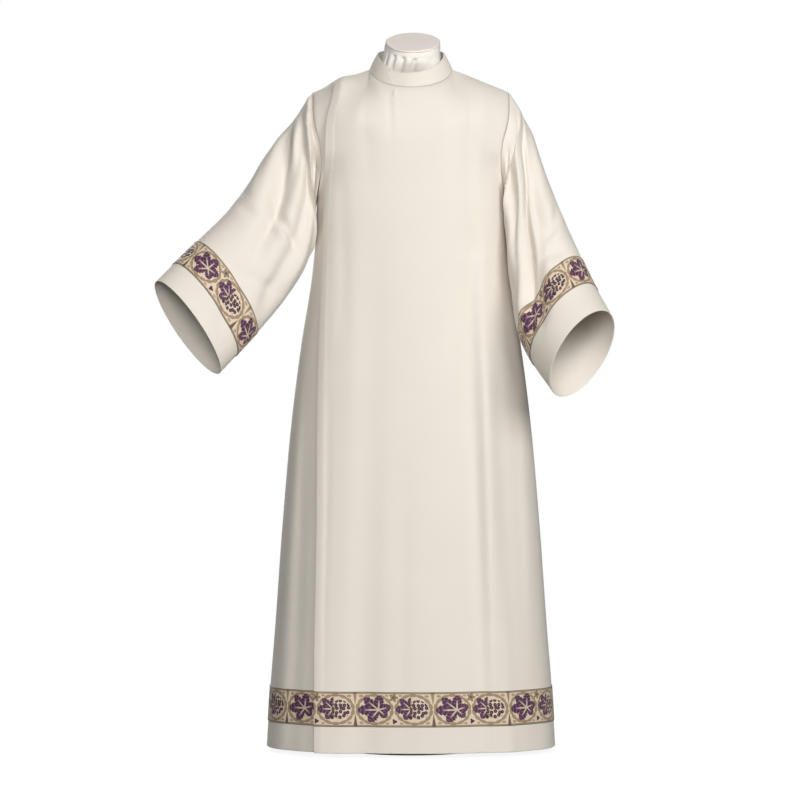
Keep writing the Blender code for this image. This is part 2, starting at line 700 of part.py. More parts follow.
def turned(profile, points, tilt=0.0, centre=(0.0, 0.0, 0.0)):
    """Solid turned from (radius, height) pairs, closed at both ends, tilted about X and placed."""
    angle = np.arange(points) / points * 2 * math.pi
    rings = [np.stack([r * np.sin(angle), -r * np.cos(angle), np.full(points, h)], axis=-1)
             for r, h in profile]
    verts = np.concatenate(rings + [[[0, 0, profile[0][1]]], [[0, 0, profile[-1][1]]]])
    turn = np.array([[1, 0, 0], [0, math.cos(tilt), -math.sin(tilt)], [0, math.sin(tilt), math.cos(tilt)]])
    verts = verts @ turn.T + np.array(centre)
    rows = len(profile)
    faces = []
    for r in range(rows - 1):
        for c in range(points):
            d = (c + 1) % points
            faces.append((r * points + c, r * points + d, (r + 1) * points + d, (r + 1) * points + c))
    for c in range(points):
        d = (c + 1) % points
        faces.append((rows * points, d, c))
        faces.append((rows * points + 1, (rows - 1) * points + c, (rows - 1) * points + d))
    return verts, faces


def cap():
    """Flat oval cap on the form's neck, leaning forward."""
    edge = 0.0012
    profile = [(CAP_RADIUS - edge, 0.0), (CAP_RADIUS, edge), (CAP_RADIUS, CAP_THICK - edge),
               (CAP_RADIUS - edge, CAP_THICK)]
    return turned(profile, 40, NECK_TILT, CAP_CENTRE)


def stand_pole():
    """Pole between the base's hub and the form's underside."""
    low = BASE_THICK + HUB_HEIGHT + SEAM
    return turned([(POLE_RADIUS, low), (POLE_RADIUS, FORM_BOTTOM - SEAM)], 24)


def stand_base():
    """Round base plate with a hub."""
    profile = [(BASE_RADIUS - 0.002, 0.0), (BASE_RADIUS, 0.002), (BASE_RADIUS, BASE_THICK - 0.003),
               (BASE_RADIUS - 0.003, BASE_THICK), (HUB_RADIUS, BASE_THICK + 0.004),
               (HUB_RADIUS - 0.004, BASE_THICK + HUB_HEIGHT)]
    return turned(profile, 40)


def main():
    """Builds every piece of the robe and of the dress form."""
    for obj in list(bpy.data.objects):
        bpy.data.objects.remove(obj, do_unlink=True)
    ivory = make_material("ivory_cloth", (0.80, 0.76, 0.67), 0.85)
    galloon = make_material("woven_band", (0.40, 0.27, 0.34), 0.75)
    cover = make_material("form_cover", (0.72, 0.67, 0.62), 0.80)
    cap_paint = make_material("form_cap", (0.66, 0.60, 0.55), 0.60)
    steel = make_material("stand_steel", (0.20, 0.20, 0.21), 0.40, 0.9)

    panels = {"front_over": over_front(), "front_under": under_front(), "back": back()}
    band_ends = {"front_under": UNDER_OPEN_COLUMNS + BAND_LAP_COLUMNS + 1}
    for name, panel in panels.items():
        make_object(f"{name}_panel", *panel.wall(), ivory)
        make_object(f"hem_band_{name}", *panel.band(band_ends.get(name)), galloon)
    sleeves = {
        "right": Sleeve(RIGHT_SLEEVE, RIGHT_SLEEVE_FOLDS, 1),
        "left": Sleeve(LEFT_SLEEVE, LEFT_SLEEVE_FOLDS, -1),
    }
    for name, sleeve in sleeves.items():
        make_object(f"sleeve_{name}_front", *sleeve.half(0, RING_POINTS // 2), ivory)
        make_object(f"sleeve_{name}_back", *sleeve.half(RING_POINTS // 2, RING_POINTS), ivory)
        make_object(f"cuff_band_{name}", *sleeve.band(), galloon)
    make_object("collar_band", *collar_band(), ivory)
    make_object("form_torso", *torso(), cover)
    make_object("form_neck_cap", *cap(), cap_paint)
    make_object("stand_pole", *stand_pole(), steel)
    make_object("stand_base", *stand_base(), steel)


main()
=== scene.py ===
"""Looks of a clergy robe on a dress form.

The robe's panels, sleeves and collar are fine shells on the forms of the solids, with the creases
of the hanging cloth. Woven vine-leaf bands, sewing, the dress form's gathered cover, its stand, a
pale studio and the camera complete them.

Metres, +Z up. The front faces -Y and +X is the viewer's right.
"""

import logging
import math
from collections.abc import Callable
from dataclasses import dataclass
from enum import Enum
from functools import reduce

import bpy
import numpy as np
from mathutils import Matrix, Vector


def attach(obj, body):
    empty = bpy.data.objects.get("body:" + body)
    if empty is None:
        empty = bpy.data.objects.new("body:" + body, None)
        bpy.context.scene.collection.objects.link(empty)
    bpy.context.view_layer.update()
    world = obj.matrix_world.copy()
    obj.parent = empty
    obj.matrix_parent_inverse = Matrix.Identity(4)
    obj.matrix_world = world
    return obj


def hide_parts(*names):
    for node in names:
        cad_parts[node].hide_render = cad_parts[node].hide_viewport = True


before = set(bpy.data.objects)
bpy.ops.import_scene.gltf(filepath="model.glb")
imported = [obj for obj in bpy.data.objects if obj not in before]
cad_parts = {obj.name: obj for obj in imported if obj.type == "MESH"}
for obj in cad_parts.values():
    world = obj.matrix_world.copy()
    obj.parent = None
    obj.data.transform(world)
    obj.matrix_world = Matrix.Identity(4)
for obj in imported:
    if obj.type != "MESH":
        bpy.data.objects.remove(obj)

LOG = logging.getLogger("robe")
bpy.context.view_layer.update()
Array = np.ndarray
Colour = tuple[float, float, float]
Point = tuple[float, float, float]

# Name of the UV map that holds a cloth's flat places in metres
FLAT_MAP = "cloth"

# In metres: the cloth's thickness, the gap between two layers, the gap at a seam, and the width of
# the woven bands
CLOTH = 0.0016
LAYER_GAP = 0.0005
SEAM = 0.0003
BAND_WIDTH = 0.074

# Flat places where a leaf with grapes is centred on the front and on each cuff
MOTIF_X = 0.0053
RIGHT_MOTIF = 0.193
LEFT_MOTIF = 0.143


class Face(Enum):
    """Which way a panel of the body looks along Y."""

    FRONT = -1
    BACK = 1


class Side(Enum):
    """Which side of the robe a sleeve is on, as the viewer sees it."""

    RIGHT = 1
    LEFT = -1


class Slot(Enum):
    """Material slots of the record."""

    CLOTH = "ivory_cloth"
    BAND = "woven_band"
    COVER = "form_cover"
    CAP = "form_cap"
    STEEL = "stand_steel"


def ease(t: Array | float) -> Array:
    """Smooth step: three times the square less twice the cube, held at 0 and 1."""
    t = np.clip(t, 0.0, 1.0)
    return t * t * (3 - 2 * t)


def window(t: Array, low: float, high: float, soft: float) -> Array:
    """1 between two places, and a smooth step down to 0 over a soft end beyond each."""
    return ease((t - low) / soft + 1) * ease((high - t) / soft + 1)


def unit(v: Array) -> Array:
    """Vectors at length one, along the last axis."""
    return v / np.maximum(np.linalg.norm(v, axis=-1, keepdims=True), 1e-12)


class Table:
    """Named columns of a short table, read as smooth curves over its first column."""

    def __init__(self, names: str, *rows: tuple[float, ...]) -> None:
        """Keeps the columns."""
        self.names = names.split()
        self.columns = dict(zip(self.names, np.array(rows, dtype=float).T))

    def read(self, name: str, at: Array, key: Array | None = None) -> Array:
        """A cubic through the rows, whose slopes come from the neighbours.

        Args:
            name: The column to read.
            at: Places along the key.
            key: The key's values, or None for the table's first column.

        Returns:
            The column's values at those places.
        """
        xs = self.columns[self.names[0]] if key is None else key
        ys = self.columns[name]
        slopes = np.gradient(ys, xs)
        at = np.clip(at, xs[0], xs[-1])
        i = np.clip(np.searchsorted(xs, at) - 1, 0, len(xs) - 2)
        span = xs[i + 1] - xs[i]
        t = (at - xs[i]) / span
        return (
            (1 + 2 * t) * (1 - t) ** 2 * ys[i]
            + t * (1 - t) ** 2 * span * slopes[i]
            + t * t * (3 - 2 * t) * ys[i + 1]
            + t * t * (t - 1) * span * slopes[i + 1]
        )

    def rows(self) -> list[tuple[float, ...]]:
        """The rows as tuples."""
        return list(zip(*self.columns.values()))


# Body of the robe: half width, depth in front and behind, and squareness at each height
BODY = Table(
    "z half front back square",
    (0.0, 0.3155, 0.21, 0.2, 2.3),
    (0.14, 0.307, 0.2, 0.19, 2.3),
    (0.27, 0.2965, 0.19, 0.18, 2.3),
    (0.48, 0.2815, 0.176, 0.168, 2.3),
    (0.74, 0.258, 0.158, 0.152, 2.3),
    (0.88, 0.24, 0.148, 0.142, 2.3),
    (1.04, 0.215, 0.138, 0.128, 2.35),
    (1.12, 0.2075, 0.134, 0.122, 2.4),
    (1.205, 0.2035, 0.131, 0.117, 2.45),
    (1.23, 0.199, 0.13, 0.116, 2.45),
    (1.274, 0.195, 0.129, 0.114, 2.45),
    (1.319, 0.1985, 0.128, 0.113, 2.45),
    (1.364, 0.208, 0.127, 0.112, 2.45),
    (1.405, 0.2145, 0.126, 0.111, 2.45),
    (1.434, 0.2135, 0.125, 0.11, 2.45),
    (1.5, 0.2135, 0.125, 0.11, 2.45),
)

# Free edge of the over front: how far left it lies, and how far it stands off the under front
FREE_EDGE = Table(
    "z x lift",
    (0.0, 0.2085, 0.02),
    (0.25, 0.2075, 0.015),
    (0.48, 0.2035, 0.01),
    (0.77, 0.202, 0.006),
    (1.07, 0.193, 0.0075),
    (1.2, 0.189, 0.0095),
    (1.32, 0.184, 0.008),
    (1.4, 0.179, 0.003),
    (1.5, 0.174, 0.001),
)

# Soft folds of the panels: place across at the top and at the hem, half width, depth (a trough
# is negative), and the height up to which each one shows in full
FOLD_NAMES = "top hem width depth high"
FRONT_FOLDS = Table(
    FOLD_NAMES,
    (0.128, 0.168, 0.018, -0.01, 1.25),
    (0.15, 0.215, 0.018, 0.0085, 1.0),
    (0.02, 0.03, 0.06, 0.004, 1.1),
    (-0.075, -0.1, 0.03, -0.0035, 0.95),
    (-0.12, -0.15, 0.024, 0.003, 0.9),
    (0.196, 0.272, 0.018, -0.004, 0.9),
    (-0.19, -0.262, 0.018, -0.005, 1.0),
)
BACK_FOLDS = Table(
    FOLD_NAMES,
    (-0.15, -0.225, 0.024, -0.008, 1.1),
    (-0.075, -0.105, 0.026, -0.007, 1.2),
    (0.0, 0.004, 0.034, 0.006, 1.2),
    (0.07, 0.098, 0.024, -0.008, 1.15),
    (0.145, 0.215, 0.026, -0.007, 1.05),
)

# Sleeve sections from armhole to cuff: the upper and the lower fold line, and the half depth
SLEEVE_NAMES = "top_x top_y top_z low_x low_y low_z depth"
RIGHT_SLEEVE = Table(
    SLEEVE_NAMES,
    (0.2138, 0.0, 1.434, 0.204, 0.0, 1.205, 0.064),
    (0.248, -0.002, 1.376, 0.211, -0.01, 1.16, 0.066),
    (0.268, -0.01, 1.324, 0.213, -0.024, 1.108, 0.068),
    (0.292, -0.024, 1.252, 0.215, -0.044, 1.052, 0.07),
    (0.321, -0.048, 1.18, 0.22, -0.072, 0.99, 0.072),
    (0.357, -0.078, 1.096, 0.229, -0.104, 0.916, 0.075),
    (0.394, -0.122, 1.014, 0.258, -0.15, 0.848, 0.08),
    (0.427, -0.182, 0.948, 0.303, -0.212, 0.78, 0.083),
)
LEFT_SLEEVE = Table(
    SLEEVE_NAMES,
    (0.2138, 0.0, 1.434, 0.204, 0.0, 1.205, 0.064),
    (0.269, -0.004, 1.362, 0.211, -0.01, 1.155, 0.066),
    (0.308, -0.016, 1.3, 0.214, -0.022, 1.104, 0.07),
    (0.354, -0.036, 1.232, 0.234, -0.042, 1.044, 0.073),
    (0.402, -0.062, 1.168, 0.276, -0.072, 0.978, 0.073),
    (0.457, -0.094, 1.112, 0.326, -0.106, 0.916, 0.071),
    (0.508, -0.128, 1.06, 0.372, -0.14, 0.864, 0.068),
    (0.548, -0.156, 1.018, 0.41, -0.168, 0.822, 0.066),
)

# Sleeve folds: place round the ring as a share of a turn (0 under, 0.25 front, 0.5 top, 0.75 back)
# at their start and end, half width, depth, and the shares of the length where each one shows
TURN_NAMES = "start end width depth low high"
RIGHT_SLEEVE_FOLDS = Table(
    TURN_NAMES,
    (0.27, 0.2, 0.04, -0.012, 0.2, 0.78),
    (0.19, 0.12, 0.03, 0.006, 0.12, 0.7),
    (0.4, 0.32, 0.035, -0.007, 0.3, 0.72),
    (0.45, 0.44, 0.05, 0.005, 0.05, 0.4),
    (0.66, 0.72, 0.035, -0.01, 0.12, 0.72),
    (0.8, 0.86, 0.035, -0.007, 0.1, 0.66),
)
LEFT_SLEEVE_FOLDS = Table(
    TURN_NAMES,
    (0.24, 0.06, 0.04, -0.012, 0.12, 0.62),
    (0.33, 0.22, 0.035, -0.01, 0.05, 0.52),
    (0.18, 0.02, 0.03, 0.007, 0.1, 0.45),
    (0.4, 0.16, 0.04, -0.006, 0.46, 0.86),
    (0.68, 0.8, 0.04, -0.01, 0.12, 0.68),
    (0.82, 0.92, 0.035, -0.007, 0.1, 0.6),
)

# Beside each crease a bell of the other sign: its share of the depth, and how much flatter it is.
# The crease runs out at both ends as a sine that starts a little above nothing
BESIDE_SHARE = 0.32
BESIDE_SPREAD = 6.0
CREASE_START = 0.06

# Creases of the body: start, middle and end of each as place across and height, half width and
# depth. A trough is negative
CREASE_NAMES = "u0 v0 u1 v1 u2 v2 width depth"
FRONT_CREASES = Table(
    CREASE_NAMES,
    (-0.05, 1.455, -0.046, 1.4, -0.04, 1.31, 0.005, -0.0022),
    (-0.038, 1.45, -0.034, 1.4, -0.032, 1.33, 0.006, 0.0016),
    (0.126, 1.44, 0.127, 1.38, 0.127, 1.3, 0.0035, -0.0012),
    (-0.11, 1.44, -0.1, 1.36, -0.085, 1.22, 0.016, -0.002),
    (0.06, 1.43, 0.07, 1.3, 0.072, 1.12, 0.022, 0.0018),
    (0.165, 1.3, 0.15, 1.18, 0.14, 1.02, 0.014, -0.0026),
    (-0.16, 1.29, -0.14, 1.12, -0.146, 0.9, 0.016, -0.0026),
    (-0.176, 0.78, -0.182, 0.5, -0.19, 0.12, 0.008, -0.0018),
    (0.142, 1.06, 0.168, 0.6, 0.176, -0.1, 0.021, 0.019),
    (0.104, 1.04, 0.13, 0.6, 0.136, -0.1, 0.022, -0.006),
    (-0.052, 0.72, -0.058, 0.4, -0.066, 0.02, 0.018, 0.001),
    (-0.012, 0.62, -0.018, 0.33, -0.02, 0.02, 0.016, -0.002),
    (0.236, 0.9, 0.252, 0.5, 0.262, 0.06, 0.013, 0.003),
    (-0.222, 0.98, -0.24, 0.6, -0.25, 0.06, 0.012, -0.0028),
    (-0.246, 0.7, -0.272, 0.4, -0.28, 0.04, 0.012, 0.0026),
    (-0.199, 1.35, -0.202, 1.23, -0.199, 1.08, 0.007, -0.007),
)
BACK_CREASES = Table(
    CREASE_NAMES,
    (-0.11, 1.44, -0.096, 1.33, -0.08, 1.16, 0.015, -0.0026),
    (0.112, 1.44, 0.1, 1.33, 0.086, 1.14, 0.015, -0.0026),
    (-0.02, 1.44, -0.012, 1.32, -0.016, 1.15, 0.018, 0.002),
    (0.165, 1.29, 0.15, 1.15, 0.136, 0.98, 0.015, -0.003),
    (-0.17, 1.28, -0.15, 1.14, -0.142, 0.96, 0.015, -0.003),
    (-0.04, 1.05, -0.052, 0.6, -0.056, 0.03, 0.02, 0.0034),
    (0.04, 0.98, 0.048, 0.55, 0.056, 0.03, 0.02, 0.0034),
    (0.11, 0.9, 0.15, 0.5, 0.168, 0.03, 0.017, 0.0036),
    (-0.11, 0.94, -0.158, 0.5, -0.172, 0.04, 0.017, 0.0036),
    (-0.2, 0.98, -0.246, 0.5, -0.262, 0.04, 0.015, 0.0034),
    (0.19, 0.96, 0.238, 0.52, 0.258, 0.05, 0.015, -0.003),
    (0.004, 0.56, 0.008, 0.3, 0.006, 0.02, 0.014, -0.0022),
)

# Creases of the sleeves: start, middle and end of each as metres round the ring and metres from
# the armhole, half width and depth
RIGHT_CREASES = Table(
    CREASE_NAMES,
    (0.296, 0.08, 0.207, 0.255, 0.096, 0.47, 0.013, -0.028),
    (0.326, 0.08, 0.238, 0.262, 0.122, 0.48, 0.028, -0.019),
    (0.262, 0.06, 0.165, 0.235, 0.078, 0.44, 0.014, 0.009),
    (0.16, 0.028, 0.105, 0.06, 0.08, 0.17, 0.011, -0.014),
    (0.31, 0.318, 0.266, 0.35, 0.232, 0.352, 0.012, -0.006),
    (0.262, 0.412, 0.224, 0.386, 0.19, 0.378, 0.012, -0.0055),
    (0.292, 0.376, 0.25, 0.37, 0.212, 0.364, 0.008, 0.004),
    (0.455, 0.1, 0.47, 0.24, 0.49, 0.4, 0.014, -0.006),
    (0.395, 0.2, 0.42, 0.24, 0.455, 0.262, 0.013, -0.0045),
    (0.4, 0.29, 0.43, 0.33, 0.47, 0.35, 0.013, 0.004),
    (0.56, 0.12, 0.575, 0.24, 0.58, 0.36, 0.013, -0.005),
)
LEFT_CREASES = Table(
    CREASE_NAMES,
    (0.303, 0.012, 0.124, 0.008, 0.021, 0.183, 0.013, 0.022),
    (0.215, 0.004, 0.087, -0.03, 0.012, 0.15, 0.013, -0.032),
    (0.326, 0.062, 0.246, 0.122, 0.186, 0.262, 0.03, -0.042),
    (0.385, 0.12, 0.325, 0.19, 0.262, 0.262, 0.022, 0.004),
    (0.226, 0.226, 0.146, 0.252, 0.075, 0.238, 0.012, -0.009),
    (0.215, 0.252, 0.15, 0.272, 0.085, 0.25, 0.011, 0.0036),
    (0.205, 0.41, 0.151, 0.384, 0.055, 0.326, 0.014, -0.005),
    (0.285, 0.294, 0.232, 0.296, 0.198, 0.282, 0.013, -0.0065),
    (0.33, 0.262, 0.296, 0.268, 0.262, 0.262, 0.012, -0.003),
    (0.45, 0.08, 0.47, 0.2, 0.5, 0.34, 0.014, -0.006),
    (0.4, 0.22, 0.44, 0.255, 0.49, 0.27, 0.013, -0.0045),
    (0.41, 0.33, 0.45, 0.372, 0.5, 0.39, 0.014, 0.004),
    (0.56, 0.12, 0.58, 0.22, 0.59, 0.32, 0.013, -0.005),
)

# Dress form below the shoulders: half width, depth in front and behind
TORSO = Table(
    "z half front back",
    (0.86, 0.15, 0.098, 0.104),
    (0.905, 0.166, 0.108, 0.112),
    (1.0, 0.146, 0.096, 0.096),
    (1.08, 0.136, 0.094, 0.088),
    (1.18, 0.15, 0.106, 0.09),
    (1.28, 0.164, 0.112, 0.092),
    (1.36, 0.176, 0.106, 0.09),
    (1.4, 0.178, 0.088, 0.077),
    (1.425, 0.176, 0.07, 0.062),
    (1.44, 0.176, 0.056, 0.05),
    (1.45, 0.168, 0.042, 0.039),
    (1.46, 0.124, 0.034, 0.033),
    (1.468, 0.086, 0.035, 0.033),
    (1.476, 0.074, 0.041, 0.035),
    (1.484, 0.067, 0.048, 0.037),
    (1.498, 0.0635, 0.056, 0.0395),
    (1.51, 0.061, 0.059, 0.0395),
    (1.522, 0.06, 0.062, 0.04),
    (1.534, 0.0595, 0.0635, 0.0405),
)

# Gathers of the cover round the neck: place in degrees from the front, half width in degrees,
# depth, lowest and highest height, and drift in degrees from bottom to top
GATHERS = Table(
    "place width depth low high drift",
    (-82.0, 6.5, 0.007, 1.46, 1.518, 1.5),
    (-62.0, 4.0, 0.003, 1.46, 1.514, 1.0),
    (-41.0, 5.0, 0.0078, 1.45, 1.512, -0.5),
    (-20.0, 5.5, 0.0078, 1.45, 1.511, 0.5),
    (2.0, 6.0, 0.006, 1.45, 1.507, 3.0),
    (38.0, 8.0, 0.0015, 1.47, 1.505, 4.0),
    (128.0, 6.0, 0.0046, 1.47, 1.512, -3.0),
    (152.0, 5.0, 0.0056, 1.47, 1.514, 2.0),
    (177.0, 6.0, 0.005, 1.47, 1.512, 0.0),
    (203.0, 5.0, 0.0058, 1.47, 1.514, 2.0),
    (232.0, 6.0, 0.0044, 1.47, 1.512, -4.0),
)


def operator(operation: str, turned: bool = False) -> Callable:
    """A method of Signal that writes a Math node.

    Args:
        operation: The node's operation.
        turned: True if the other value comes first.

    Returns:
        A method of the signal and the other value.
    """

    def method(self: "Signal", other: "Signal | float") -> "Signal":
        """Writes the node."""
        return self.graph.math(operation, *((other, self) if turned else (self, other)))

    return method


class Signal:
    """An output in a node tree that combines with others by plain arithmetic."""

    def __init__(self, graph: "Graph", socket: bpy.types.NodeSocket) -> None:
        """Keeps the tree's writer and the output."""
        self.graph = graph
        self.socket = socket

    __add__ = __radd__ = operator("ADD")
    __mul__ = __rmul__ = operator("MULTIPLY")
    __sub__ = operator("SUBTRACT")
    __rsub__ = operator("SUBTRACT", turned=True)
    __truediv__ = operator("DIVIDE")
    __pow__ = operator("POWER")

    def __abs__(self) -> "Signal":
        """Size without sign."""
        return self.graph.math("ABSOLUTE", self)


class Graph:
    """Writes a node tree from expressions."""

    def __init__(self, tree: bpy.types.NodeTree) -> None:
        """Keeps the tree."""
        self.tree = tree

    def node(self, kind: str, **settings: object) -> bpy.types.Node:
        """Adds a node.

        Args:
            kind: The node's type.
            settings: Its properties.

        Returns:
            The node.
        """
        node = self.tree.nodes.new(kind)
        for name, value in settings.items():
            setattr(node, name, value)
        return node

    def fill(self, node: bpy.types.Node, values: "dict[str | int, Signal | float | tuple]") -> None:
        """Links signals to a node's inputs, or sets plain values on them.

        Args:
            node: The node.
            values: A signal, number, vector or colour for each input's name or place.
        """
        for name, value in values.items():
            socket = node.inputs[name]
            if isinstance(value, Signal):
                self.tree.links.new(value.socket, socket)
            elif isinstance(value, tuple) and socket.type == "RGBA":
                socket.default_value = (*value, 1.0)
            else:
                socket.default_value = value

    def every(self, kind: str, *values: "Signal | float", **settings: object) -> list[Signal]:
        """All outputs of a new node.

        Args:
            kind: The node's type.
            values: Its inputs, in order.
            settings: Its properties.

        Returns:
            Its outputs, in order.
        """
        node = self.node(kind, **settings)
        self.fill(node, dict(enumerate(values)))
        return [Signal(self, socket) for socket in node.outputs]

    def one(self, kind: str, values: dict, output: int | str = 0, **settings: object) -> Signal:
        """One output of a new node.

        Args:
            kind: The node's type.
            values: Its inputs, by name or place.
            output: The output's name or place.
            settings: Its properties.

        Returns:
            The output.
        """
        node = self.node(kind, **settings)
        self.fill(node, values)
        return Signal(self, node.outputs[output])

    def math(self, operation: str, *values: "Signal | float") -> Signal:
        """A Math node over one to three values."""
        return self.every("ShaderNodeMath", *values, operation=operation)[0]

    def step(self, value: Signal, low: float, high: float) -> Signal:
        """Smooth step from 0 at the low place to 1 at the high one; the low one may be the larger."""
        values = {"Value": value, "From Min": low, "From Max": high}
        return self.one("ShaderNodeMapRange", values, "Result", interpolation_type="SMOOTHSTEP")

    def most(self, *values: Signal) -> Signal:
        """The greatest of several signals."""
        return reduce(lambda best, value: self.math("MAXIMUM", best, value), values)

    def mix(self, share: Signal, first: "Signal | Colour", second: "Signal | Colour") -> Signal:
        """A colour between two, by a share from 0 to 1."""
        return self.one("ShaderNodeMix", {0: share, 6: first, 7: second}, 2, data_type="RGBA")

    def noise(self, at: Signal, scale: float, detail: float = 2.0) -> Signal:
        """Smooth noise from 0 to 1 at a place in metres."""
        return self.one("ShaderNodeTexNoise", {"Vector": at, "Scale": scale, "Detail": detail})

    def vector(self, x: Signal, y: Signal, z: "Signal | float" = 0.0) -> Signal:
        """A vector of three values."""
        return self.every("ShaderNodeCombineXYZ", x, y, z)[0]

    def split(self, at: Signal) -> list[Signal]:
        """The three parts of a vector."""
        return self.every("ShaderNodeSeparateXYZ", at)

    def flat_place(self) -> Signal:
        """The cloth's flat place in metres, from its UV map."""
        return self.one("ShaderNodeUVMap", {}, uv_map=FLAT_MAP)

    def object_place(self) -> Signal:
        """The place in the object's own coordinates."""
        return self.one("ShaderNodeTexCoord", {}, "Object")

    def to_camera(self) -> Signal:
        """1 where the camera itself looks, and 0 for all other rays."""
        return self.one("ShaderNodeLightPath", {}, "Is Camera Ray")

    def bump(self, height: Signal, strength: float, distance: float, below: Signal | None = None) -> Signal:
        """A normal that follows a height, over another normal if one is given."""
        values = {"Height": height, "Strength": strength, "Distance": distance}
        return self.one("ShaderNodeBump", values if below is None else values | {"Normal": below})

    def use(self, group: bpy.types.NodeTree, *values: "Signal | float") -> list[Signal]:
        """The outputs of a shared group, with its inputs in order."""
        return self.every("ShaderNodeGroup", *values, node_tree=group)


class Group(Graph):
    """Writes a shared node group."""

    def __init__(self, name: str, inputs: str, outputs: str) -> None:
        """Makes the group's interface, all of it numbers.

        Args:
            name: The group's name.
            inputs: Names of its inputs, parted by spaces.
            outputs: Names of its outputs.
        """
        tree = bpy.data.node_groups.new(name, "ShaderNodeTree")
        for names, way in ((inputs, "INPUT"), (outputs, "OUTPUT")):
            for item in names.split():
                tree.interface.new_socket(item, in_out=way, socket_type="NodeSocketFloat")
        super().__init__(tree)
        self.given = [Signal(self, s) for s in self.node("NodeGroupInput").outputs if s.name]
        self.taken = self.node("NodeGroupOutput")

    def give(self, *values: Signal) -> bpy.types.NodeTree:
        """Links the outputs, in order, and returns the group."""
        self.fill(self.taken, dict(enumerate(values)))
        return self.tree


def weave_group() -> bpy.types.NodeTree:
    """Plain weave from a flat place and a thread pitch, all in metres.

    Warp and weft are sines across their threads, and a checker of the two says which lies on top.
    A noise stretched along the weft makes some threads thicker.

    Returns:
        A group with the outputs Height and Tone; Tone is painted shade, darker in the hollows between
        threads, and also varies with the slubs.
    """
    g = Group("fine_weave", "U V Pitch", "Height Tone")
    u, v, pitch = g.given[:3]
    across = g.math("SINE", u * math.pi / pitch)
    along = g.math("SINE", v * math.pi / pitch)
    on_top = g.step(across * along, -0.2, 0.2)
    height = on_top * abs(across) + (1.0 - on_top) * abs(along)
    slub = g.noise(g.vector(u * 90.0, v * 900.0), 1.0)
    # Tone: lighter on the threads' crowns, painted shade in the hollows between them, and the slubs' own tone
    return g.give(height * (slub * 0.5 + 0.75), height * 0.08 + slub * 0.10 + 0.86)


@dataclass(frozen=True)
class Finish:
    """A material written as nodes."""

    name: str
    colour: Colour
    roughness: float

    def material(self) -> bpy.types.Material:
        """Makes the material.

        Returns:
            The material, with the finish's nodes linked to its surface.
        """
        material = bpy.data.materials.new(self.name)
        material.use_nodes = True
        g = Graph(material.node_tree)
        g.fill(g.tree.nodes["Principled BSDF"], {"Roughness": self.roughness} | self.inputs(g))
        return material

    def shade(self, share: float) -> Colour:
        """The finish's colour, darker."""
        return tuple(c * share for c in self.colour)

    def inputs(self, g: Graph) -> "dict[str, Signal | float | Colour]":
        """Writes the finish's nodes.

        Args:
            g: The material's tree.

        Returns:
            What each input of the Principled shader gets.
        """
        raise NotImplementedError


@dataclass(frozen=True)
class WovenCloth(Finish):
    """Plain matt cloth: fine weave, faint cloudy tone, a soft nap and slight rumples."""

    weave: bpy.types.NodeTree | None = None
    pitch: float = 0.00055
    cloud_shade: float = 0.95
    # Share of the colour where the weave's tone is low: painted shade in the hollows between threads, and
    # thin slubs
    thread_shade: float = 0.80
    cloud_scale: float = 7.0
    rumple_scale: float = 34.0
    rumple_depth: float = 0.0016
    rumple: float = 0.10
    thread_depth: float = 0.00030
    thread: float = 0.30
    nap: float = 0.22

    def inputs(self, g: Graph) -> dict[str, Signal | float]:
        """Tone from clouds and threads, bump from rumples under threads, and a sheen for the nap."""
        place = g.object_place()
        u, v, _ = g.split(g.flat_place())
        height, tone = g.use(self.weave, u, v, self.pitch)
        cloud = g.mix(g.noise(place, self.cloud_scale), self.colour, self.shade(self.cloud_shade))
        rumples = g.bump(g.noise(place, self.rumple_scale), self.rumple, self.rumple_depth)
        return {
            # Painted shade: the colour goes towards thread_shade in the weave's hollows
            "Base Color": g.mix((1.0 - tone) * 1.6, cloud, self.shade(self.thread_shade)),
            "Normal": g.bump(height, self.thread, self.thread_depth, rumples),
            "Sheen Weight": self.nap,
            "Sheen Roughness": 0.45,
            "Specular IOR Level": 0.25,
        }


@dataclass(frozen=True)
class Thread(Finish):
    """Twisted sewing thread: a fine slant ripple along it."""

    ripple: float = 900.0

    def inputs(self, g: Graph) -> dict[str, Signal | float]:
        """Colour and bump from a sine on the slant of the place."""
        x, y, z = g.split(g.object_place())
        twist = g.math("SINE", (x + y + z * 1.7) * (self.ripple * 2 * math.pi)) * 0.5 + 0.5
        return {
            # Painted shade: darker in the grooves of the twist
            "Base Color": g.mix(twist, self.shade(0.78), self.colour),
            "Normal": g.bump(twist, 0.4, 0.0002),
            "Sheen Weight": 0.3,
        }


@dataclass(frozen=True)
class Jersey(Finish):
    """Fine knitted cover: columns of small loops."""

    wale: float = 0.0011
    depth: float = 0.0004

    def inputs(self, g: Graph) -> dict[str, Signal | float]:
        """Loops as slanted sines on both sides of each column, with a cloudy tone."""
        u, v, _ = g.split(g.flat_place())
        column = abs(g.math("SINE", u * (math.pi / self.wale)))
        beside = abs(g.math("PINGPONG", u, self.wale / 2))
        slant = g.math("SINE", (v * 1.3 + beside) * (2 * math.pi / self.wale))
        loops = column * (slant * 0.25 + 0.75)
        cloud = g.noise(g.object_place(), 14.0)
        return {
            # Painted shade: darker where the loops are low, between the columns and along their slants, with
            # a cloudy tone over it
            "Base Color": g.mix(loops * 0.7 + cloud * 0.3, self.shade(0.90), self.colour),
            "Normal": g.bump(loops, 0.35, self.depth),
            "Sheen Weight": 0.15,
            "Specular IOR Level": 0.3,
        }


@dataclass(frozen=True)
class Board(Finish):
    """Smooth painted disc with a faint grain and a few specks."""

    def inputs(self, g: Graph) -> dict[str, Signal | float]:
        """Tone and a very low bump from two noises."""
        place = g.object_place()
        return {
            "Base Color": g.mix(g.noise(place, 60.0, 4.0), self.colour, self.shade(0.94)),
            "Normal": g.bump(g.noise(place, 420.0), 0.12, 0.0003),
        }


